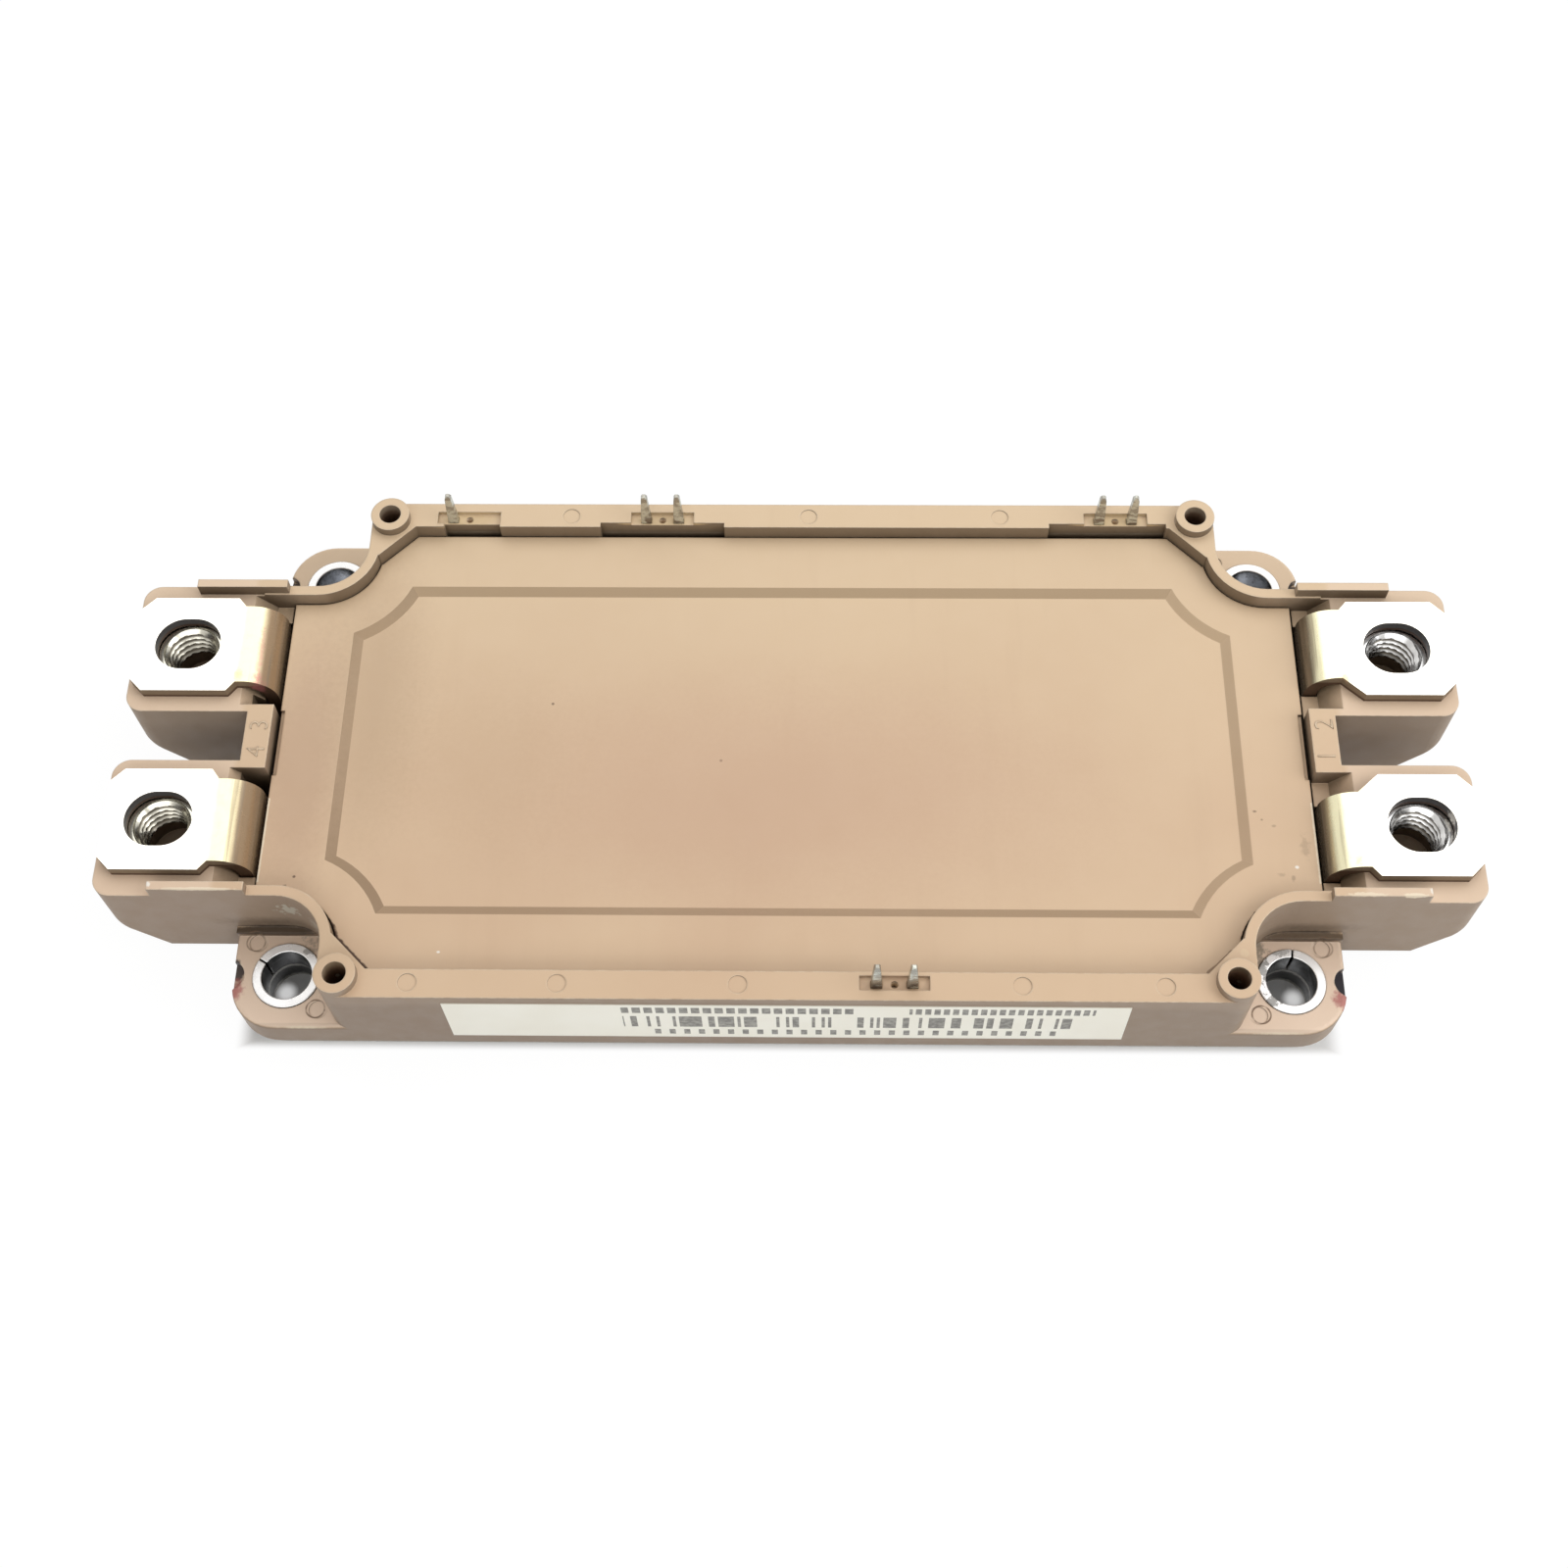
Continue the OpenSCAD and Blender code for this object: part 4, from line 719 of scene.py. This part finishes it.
def threaded_steel(name):
    """Zinc-plated nut: yellower on the left, with painted shade in the thread roots under a bright
    lead-in and deeper in the bore.
    """
    made, tree, surface = new_material(name)
    where = place(tree)
    axes = parts(tree, where)
    radius = from_centre(tree, SCREW_PLACE)
    cloudy = ramp(tree, noise(tree, where, 500.0, 3.0, 0.6), 0.35, 0.7)
    base = mix_colours(tree, ramp(tree, axes[0], -20.0 * MM, 20.0 * MM), ZINC_YELLOW, ZINC)
    base = mix_colours(tree, maths(tree, "MULTIPLY", cloudy, 0.25), base, THREAD_DARK)
    # Painted shade in the thread roots below the lead-in
    below = ramp(tree, axes[2], NUT_TOP - 0.55 * MM, NUT_TOP - 0.8 * MM)
    root = ramp(tree, radius, 2.6 * MM, 2.82 * MM, 0.0, 0.95)
    base = mix_colours(tree, maths(tree, "MULTIPLY", below, root), base, THREAD_DARK)
    # Painted shade deeper in the bore
    lower_bore_shade = ramp(tree, axes[2], NUT_TOP - 2.5 * MM, NUT_TOP - 4.8 * MM, 0.0, 0.8)
    base = mix_colours(tree, lower_bore_shade, base, THREAD_DARK)
    rough = ramp(tree, noise(tree, where, 900.0, 3.0, 0.6), 0.3, 0.8, 0.12, 0.28)
    set_inputs(tree, surface, Base_Color=base, Roughness=rough, Metallic=1.0,
               Normal=bump(tree, cloudy, 0.004 * MM, 0.4))
    return made


def worn_pin(name):
    """Tinned pin, dulled and brown in patches."""
    made, tree, surface = new_material(name)
    where = place(tree)
    clouds = noise(tree, stretched(tree, (500.0, 500.0, 1300.0)), 1.0, 3.0, 0.6)
    patches = ramp(tree, clouds, 0.45, 0.54)
    low = ramp(tree, parts(tree, where)[2], 18.0 * MM, 15.0 * MM)
    worn = maths(tree, "MULTIPLY", patches, maths(tree, "MULTIPLY_ADD", low, 0.4, 0.5))
    base = mix_colours(tree, worn, PIN_TIN, PIN_BROWN)
    rough = ramp(tree, noise(tree, where, 1500.0, 3.0, 0.6), 0.3, 0.8, 0.24, 0.42)
    set_inputs(tree, surface, Base_Color=base, Roughness=rough, Metallic=0.75,
               Normal=bump(tree, patches, 0.02 * MM, 0.6))
    return made


# Rows of dashes on the label: ends along it, ends up it, dashes over its length, dash share
LABEL_DASHES = (
    (0.26, 0.6, 0.76, 0.93, 58.0, 0.72),
    (0.68, 0.95, 0.76, 0.93, 74.0, 0.66),
    (0.3, 0.9, 0.1, 0.25, 46.0, 0.42),
)


def band_between(tree, value, first, last):
    """1 where a value lies between first and last."""
    return maths(tree, "MULTIPLY", maths(tree, "GREATER_THAN", value, first),
                 maths(tree, "LESS_THAN", value, last))


def label_paper(name, low, high):
    """Off-white printed label: generic bars of changing width and broken dashes, no letters."""
    made, tree, surface = new_material(name)
    where = place(tree)
    axes = parts(tree, where)
    across, up = [maths(tree, "DIVIDE", maths(tree, "SUBTRACT", axes[n], float(low[n])),
                        float(high[n] - low[n])) for n in (0, 2)]
    step = maths(tree, "MULTIPLY", across, 210.0)
    bars = add(tree, "TexWhiteNoise", {"W": maths(tree, "FLOOR", step)}, noise_dimensions="1D")
    ink = maths(tree, "GREATER_THAN", bars.outputs["Value"], 0.46)
    field = maths(tree, "MULTIPLY", band_between(tree, across, 0.26, 0.925),
                  band_between(tree, up, 0.33, 0.66))
    printed = maths(tree, "MULTIPLY", ink, field)
    for first, last, bottom, top, rate, share in LABEL_DASHES:
        steps = maths(tree, "FRACT", maths(tree, "MULTIPLY", across, rate))
        dash = maths(tree, "LESS_THAN", steps, share)
        row = maths(tree, "MULTIPLY", band_between(tree, across, first, last),
                    band_between(tree, up, bottom, top))
        printed = maths(tree, "MAXIMUM", printed, maths(tree, "MULTIPLY", dash, row))
    worn = ramp(tree, noise(tree, where, 1600.0, 3.0, 0.6), 0.2, 0.7, 0.62, 0.88)
    paper = mix_colours(tree, ramp(tree, noise(tree, where, 130.0), 0.3, 0.7), PAPER, PAPER_DULL)
    base = mix_colours(tree, maths(tree, "MULTIPLY", printed, worn), paper, PRINT)
    set_inputs(tree, surface, Base_Color=base, Roughness=0.42,
               Normal=bump(tree, noise(tree, where, 5200.0, 2.0), 0.004 * MM, 0.4))
    return made


def plain_finish(name, tint, metallic, low, high):
    """Finish of an inner piece: mottled colour and uneven gloss."""
    made, tree, surface = new_material(name)
    speckle = noise(tree, place(tree), 900.0, 3.0, 0.6)
    base = mix_colours(tree, ramp(tree, speckle, 0.3, 0.7), tint, dimmed(tint, 0.8))
    set_inputs(tree, surface, Base_Color=base, Metallic=metallic,
               Roughness=ramp(tree, speckle, 0.2, 0.8, low, high),
               Normal=bump(tree, speckle, 0.005 * MM, 0.4))
    return made


case_finish = moulded_plastic("case_plastic", CASE_MARKS, 0.6, is_lid=False)
lid_finish = moulded_plastic("lid_plastic", LID_MARKS, 0.2, is_lid=True)
terminal_finish = tinned_terminal("terminal_plate", TERMINAL_TOP, BEND_X)
nut_finish = threaded_steel("nut_steel")
bush_finish = plated_metal("bush_steel", STEEL, 0.16, 0.32, (700.0, 700.0, 200.0), 0.92,
                           BUSH_MARKS, shade=0.8, satin=0.75, cloud=0.06)
pin_finish = worn_pin("pin_tin")
base_finish = plated_metal("base_nickel", NICKEL, 0.25, 0.45, (120.0, 2400.0, 2400.0), 0.2,
                           BASE_MARKS)
label_finish = label_paper("label_print", *low_high("label"))
copper_finish = plain_finish("bare_copper", colour(205, 135, 98), 1.0, 0.25, 0.4)
ceramic_finish = plain_finish("white_ceramic", colour(236, 234, 226), 0.0, 0.4, 0.6)
chip_finish = plain_finish("silicon_chip", colour(92, 94, 104), 0.6, 0.15, 0.3)
wire_finish = plain_finish("aluminium_wire", colour(222, 223, 226), 1.0, 0.25, 0.4)
glass_finish = plain_finish("sensor_glass", colour(92, 120, 104), 0.0, 0.08, 0.15)
gel_finish = plain_finish("clear_gel", colour(205, 214, 224), 0.0, 0.1, 0.25)

FINISHES = {
    "case_frame": case_finish, "lid": lid_finish, "base_plate": base_finish,
    "label": label_finish, "bush_": bush_finish, "terminal_": terminal_finish,
    "nut_": nut_finish, "control_pin_": pin_finish, "backing_copper_": copper_finish,
    "ceramic_": ceramic_finish, "track_copper_": copper_finish, "igbt_chips_": chip_finish,
    "diode_chips_": chip_finish, "bond_wires_": wire_finish, "link_wires": wire_finish,
    "signal_wires": wire_finish, "thermistor": glass_finish, "gel_filling": gel_finish,
}


def finish_of(node):
    """Material for a node, by the start of its name."""
    return next(material for start, material in FINISHES.items() if node.startswith(start))


def dress_nodes():
    """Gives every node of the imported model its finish."""
    for name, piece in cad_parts.items():
        piece.data.materials.clear()
        piece.data.materials.append(finish_of(name))


# Pieces

def join_scene(name, mesh, node, material):
    """Puts a mesh into the scene as a piece that stands for a node."""
    mesh.materials.clear()
    mesh.materials.append(material)
    piece = bpy.data.objects.new(name, mesh)
    bpy.context.scene.collection.objects.link(piece)
    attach(piece, BODY)
    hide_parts(node)
    return piece


def closed_mesh(name, points):
    """Smooth mesh of quads over points[row, column], joined round in both directions."""
    rows, columns = points.shape[:2]
    row, column = np.meshgrid(np.arange(rows), np.arange(columns), indexing="ij")
    next_row = (row + 1) % rows
    next_column = (column + 1) % columns
    quads = np.stack([row * columns + column, next_row * columns + column,
                      next_row * columns + next_column, row * columns + next_column], -1)
    mesh = bpy.data.meshes.new(name)
    mesh.from_pydata(points.reshape(-1, 3).tolist(), [], quads.reshape(-1, 4).tolist())
    mesh.polygons.foreach_set("use_smooth", np.ones(len(mesh.polygons), bool))
    return mesh


def mark_sharp(mesh, angle):
    """Edges bent by more than angle degrees stay crisp."""
    work = bmesh.new()
    work.from_mesh(mesh)
    for edge in work.edges:
        edge.smooth = not (len(edge.link_faces) == 2
                           and edge.calc_face_angle(0.0) > math.radians(angle))
    work.to_mesh(mesh)
    work.free()


def merged_copy(node, name):
    """Copy of a node's mesh with its loose triangles joined and flat faces dissolved."""
    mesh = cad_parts[node].data.copy()
    mesh.name = name
    work = bmesh.new()
    work.from_mesh(mesh)
    bmesh.ops.remove_doubles(work, verts=work.verts, dist=0.5e-6)
    bmesh.ops.dissolve_limit(work, angle_limit=math.radians(0.5), verts=work.verts,
                             edges=work.edges)
    for face in work.faces:
        face.smooth = True
    work.to_mesh(mesh)
    work.free()
    mark_sharp(mesh, 30)
    return mesh


def soften(piece, width):
    """Rounds the edges of a piece that are bent by more than 35 degrees."""
    bevel = piece.modifiers.new("edges", "BEVEL")
    bevel.width = width
    bevel.segments = 2
    bevel.limit_method = "ANGLE"
    bevel.angle_limit = math.radians(35)
    bevel.harden_normals = False


def dress_terminals():
    """Stamped terminals with softly rounded edges."""
    for corner in CORNERS:
        mesh = merged_copy(f"terminal_{corner}", f"plated_terminal_{corner}")
        piece = join_scene(mesh.name, mesh, f"terminal_{corner}", terminal_finish)
        soften(piece, 0.14 * MM)


def dress_pins():
    """Control pins with softly rounded edges."""
    for name in sorted(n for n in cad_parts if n.startswith("control_pin_")):
        mesh = merged_copy(name, name.replace("control", "tinned"))
        piece = join_scene(mesh.name, mesh, name, pin_finish)
        soften(piece, 0.06 * MM)


def nut_mesh(name, centre, bottom, top):
    """Hexagon nut: the outline is the hexagon cut by two cones, and the wall of the bore is a
    helix whose radius follows a rounded triangle wave of the pitch."""
    angle = np.linspace(0, 2 * np.pi, NUT_STEPS_ROUND, endpoint=False)
    sector = (angle + np.pi / 6) % (np.pi / 3) - np.pi / 6
    hexagon = NUT_FLATS / 2 / np.cos(sector)
    crown = np.full(NUT_STEPS_ROUND, NUT_FLATS / 2)
    cone = (hexagon - crown) * CONE_SLOPE
    lip = np.full(NUT_STEPS_ROUND, NUT_BORE_R)
    outline = [(lip + 0.55 * MM, bottom), (crown, bottom), (hexagon, bottom + cone),
               (hexagon, top - cone), (crown, top), (lip + 0.7 * MM, top)]
    depth = np.linspace(top - 0.12 * MM, bottom + 0.1 * MM, NUT_STEPS_DOWN)[:, None]
    phase = (depth / NUT_PITCH - angle / (2 * np.pi)) % 1.0
    wave = np.abs(phase - 0.5) * 2
    thread = np.clip((wave - 0.12) / 0.7, 0.0, 1.0)
    lead = np.clip((depth - (top - 0.75 * MM)) / (0.6 * MM), 0.0, 1.0)
    wall = np.maximum(NUT_BORE_R + THREAD_DEPTH * thread, NUT_BORE_R + lead * 0.62 * MM)
    radius = np.concatenate([[row for row, level in outline], wall])
    height = np.concatenate([[np.broadcast_to(level, crown.shape) for row, level in outline],
                             np.broadcast_to(depth, wall.shape)])
    points = np.stack([centre[0] + radius * np.cos(angle), centre[1] + radius * np.sin(angle),
                       height], -1)
    mesh = closed_mesh(name, points)
    mesh.flip_normals()
    mark_sharp(mesh, 32)
    return mesh


def dress_nuts():
    """Nuts with a real helical thread, seen through the terminals' holes."""
    for corner in CORNERS:
        node = f"nut_{corner}"
        low, high = low_high(node)
        centre = (low + high) / 2
        mesh = nut_mesh(f"threaded_{node}", centre, low[2], high[2])
        join_scene(mesh.name, mesh, node, nut_finish)


def dress_bushes():
    """Bushes with softly rounded rims."""
    for corner in CORNERS:
        mesh = merged_copy(f"bush_{corner}", f"rolled_bush_{corner}")
        piece = join_scene(mesh.name, mesh, f"bush_{corner}", bush_finish)
        soften(piece, 0.12 * MM)


# Moulded numbers of the terminals: the digit and the middle of its place in millimetres
NUMBERS = (("1", 59.5, -2.0), ("2", 59.6, 2.0), ("3", -59.45, 1.3), ("4", -59.45, -2.0))
NUMBER_SIZE = 3.0 * MM
NUMBER_RISE = 0.08 * MM
NUMBER_THINNING = -0.05 * MM
BAR_DROP = 1.5 * MM


def dress_numbers():
    """Plain digits that stand a little proud of the bars, turned to read along Y."""
    deck = TERMINAL_TOP - BAR_DROP
    for digit, x, y in NUMBERS:
        line = bpy.data.curves.new(f"digit_{digit}", "FONT")
        line.body = digit
        line.size = NUMBER_SIZE
        line.extrude = NUMBER_RISE
        line.offset = NUMBER_THINNING
        drawn = bpy.data.objects.new("drawn", line)
        mesh = bpy.data.meshes.new_from_object(drawn)
        bpy.data.objects.remove(drawn)
        points = np.array([v.co for v in mesh.vertices])
        points -= (points.min(0) + points.max(0)) / 2
        turned = np.stack([-points[:, 1] + x * MM, points[:, 0] + y * MM, points[:, 2] + deck], -1)
        mesh.vertices.foreach_set("co", turned.ravel())
        mesh.name = f"moulded_digit_{digit}"
        mesh.materials.append(case_finish)
        piece = bpy.data.objects.new(mesh.name, mesh)
        bpy.context.scene.collection.objects.link(piece)
        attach(piece, BODY)


# Stage

# Light of the sky on the object, and its colour
SKY_LIGHT = 0.42
SKY_TINT = (1.0, 0.985, 0.96, 1.0)

# Soft boxes: name, place, point they aim at, size in metres, watts
LAMPS = (
    ("rear_box", (0.05, 0.27, 0.46), (0.0, 0.0, 0.0), (0.85, 0.42), 1.3),
    ("right_box", (0.5, -0.1, 0.35), (0.02, 0.0, 0.0), (0.4, 0.4), 1.15),
    ("front_box", (0.0, -0.5, 0.38), (0.0, 0.0, 0.01), (0.8, 0.3), 0.95),
)


def seen_direct(tree):
    """1 for what the camera, a mirror or glass sees."""
    path = add(tree, "LightPath").outputs
    through = maths(tree, "MAXIMUM", path["Is Glossy Ray"], path["Is Transmission Ray"])
    return maths(tree, "MAXIMUM", path["Is Camera Ray"], through)


def make_floor():
    """Pale floor that shows white round the object and keeps the object's shadow, with a painted
    pool of light under each bush hole.
    """
    mesh = bpy.data.meshes.new("floor")
    half = FLOOR_HALF
    corners = [(-half, -half, 0.0), (half, -half, 0.0), (half, half, 0.0), (-half, half, 0.0)]
    mesh.from_pydata(corners, [], [(0, 1, 2, 3)])
    floor = bpy.data.objects.new("floor", mesh)
    bpy.context.scene.collection.objects.link(floor)
    made = bpy.data.materials.new("floor")
    made.use_nodes = True
    tree = made.node_tree
    tree.nodes.clear()
    diffuse = add(tree, "BsdfDiffuse", {"Color": FLOOR_GREY})
    white = add(tree, "Emission", {"Color": (1.0, 1.0, 1.0, 1.0), "Strength": 1.05})
    axes = parts(tree, vector_maths(tree, "DIVIDE", place(tree), UNDER_CASE).outputs[0])
    outside = maths(tree, "MAXIMUM", maths(tree, "ABSOLUTE", axes[0]),
                    maths(tree, "ABSOLUTE", axes[1]))
    clear = ramp(tree, outside, *UNDER_EDGE, 0.0, WHITE_SHARE)
    # Painted light: a pool on the floor under each bush hole, glowing for the camera
    through = ramp(tree, from_centre(tree, HOLE_PLACE, PAINTED_POOL_OFFSET), *PAINTED_POOL_REACH, 0.0, 0.5)
    shown = maths(tree, "MAXIMUM", clear, through)
    share = maths(tree, "MULTIPLY", seen_direct(tree), shown)
    mixed = add(tree, "MixShader", {0: share, 1: diffuse.outputs[0], 2: white.outputs[0]})
    add(tree, "OutputMaterial", {"Surface": mixed.outputs[0]})
    floor.data.materials.append(made)


def make_world():
    """Soft even sky, white where the camera, a mirror or glass sees it."""
    world = bpy.data.worlds.new("studio")
    bpy.context.scene.world = world
    world.use_nodes = True
    tree = world.node_tree
    tree.nodes.clear()
    strength = ramp(tree, seen_direct(tree), 0.0, 1.0, SKY_LIGHT, 1.0)
    sky = add(tree, "Background", {"Color": SKY_TINT, "Strength": strength})
    add(tree, "OutputWorld", {"Surface": sky.outputs[0]})


def make_lamp(name, location, target, size, power):
    """Rectangular soft box aimed at a point."""
    data = bpy.data.lights.new(name, "AREA")
    data.shape = "RECTANGLE"
    data.size, data.size_y = size
    data.energy = power
    lamp = bpy.data.objects.new(name, data)
    lamp.location = location
    aim = Vector(target) - Vector(location)
    lamp.rotation_euler = aim.to_track_quat("-Z", "Y").to_euler()
    bpy.context.scene.collection.objects.link(lamp)


def make_camera():
    """Camera at the photograph's place, framed by a small shift."""
    data = bpy.data.cameras.new("camera")
    data.lens = CAMERA_LENS
    data.sensor_width = 36.0
    data.shift_x, data.shift_y = CAMERA_SHIFT
    data.clip_start, data.clip_end = 0.01, 50.0
    camera = bpy.data.objects.new("camera", data)
    camera.location = CAMERA_PLACE
    camera.rotation_euler = Euler([math.radians(a) for a in CAMERA_TURN], "XYZ")
    bpy.context.scene.collection.objects.link(camera)
    bpy.context.scene.camera = camera


make_camera()
make_world()
make_floor()
for lamp_values in LAMPS:
    make_lamp(*lamp_values)
dress_nodes()
dress_terminals()
dress_pins()
dress_nuts()
dress_bushes()
dress_numbers()

bpy.context.scene.view_settings.view_transform = "Standard"
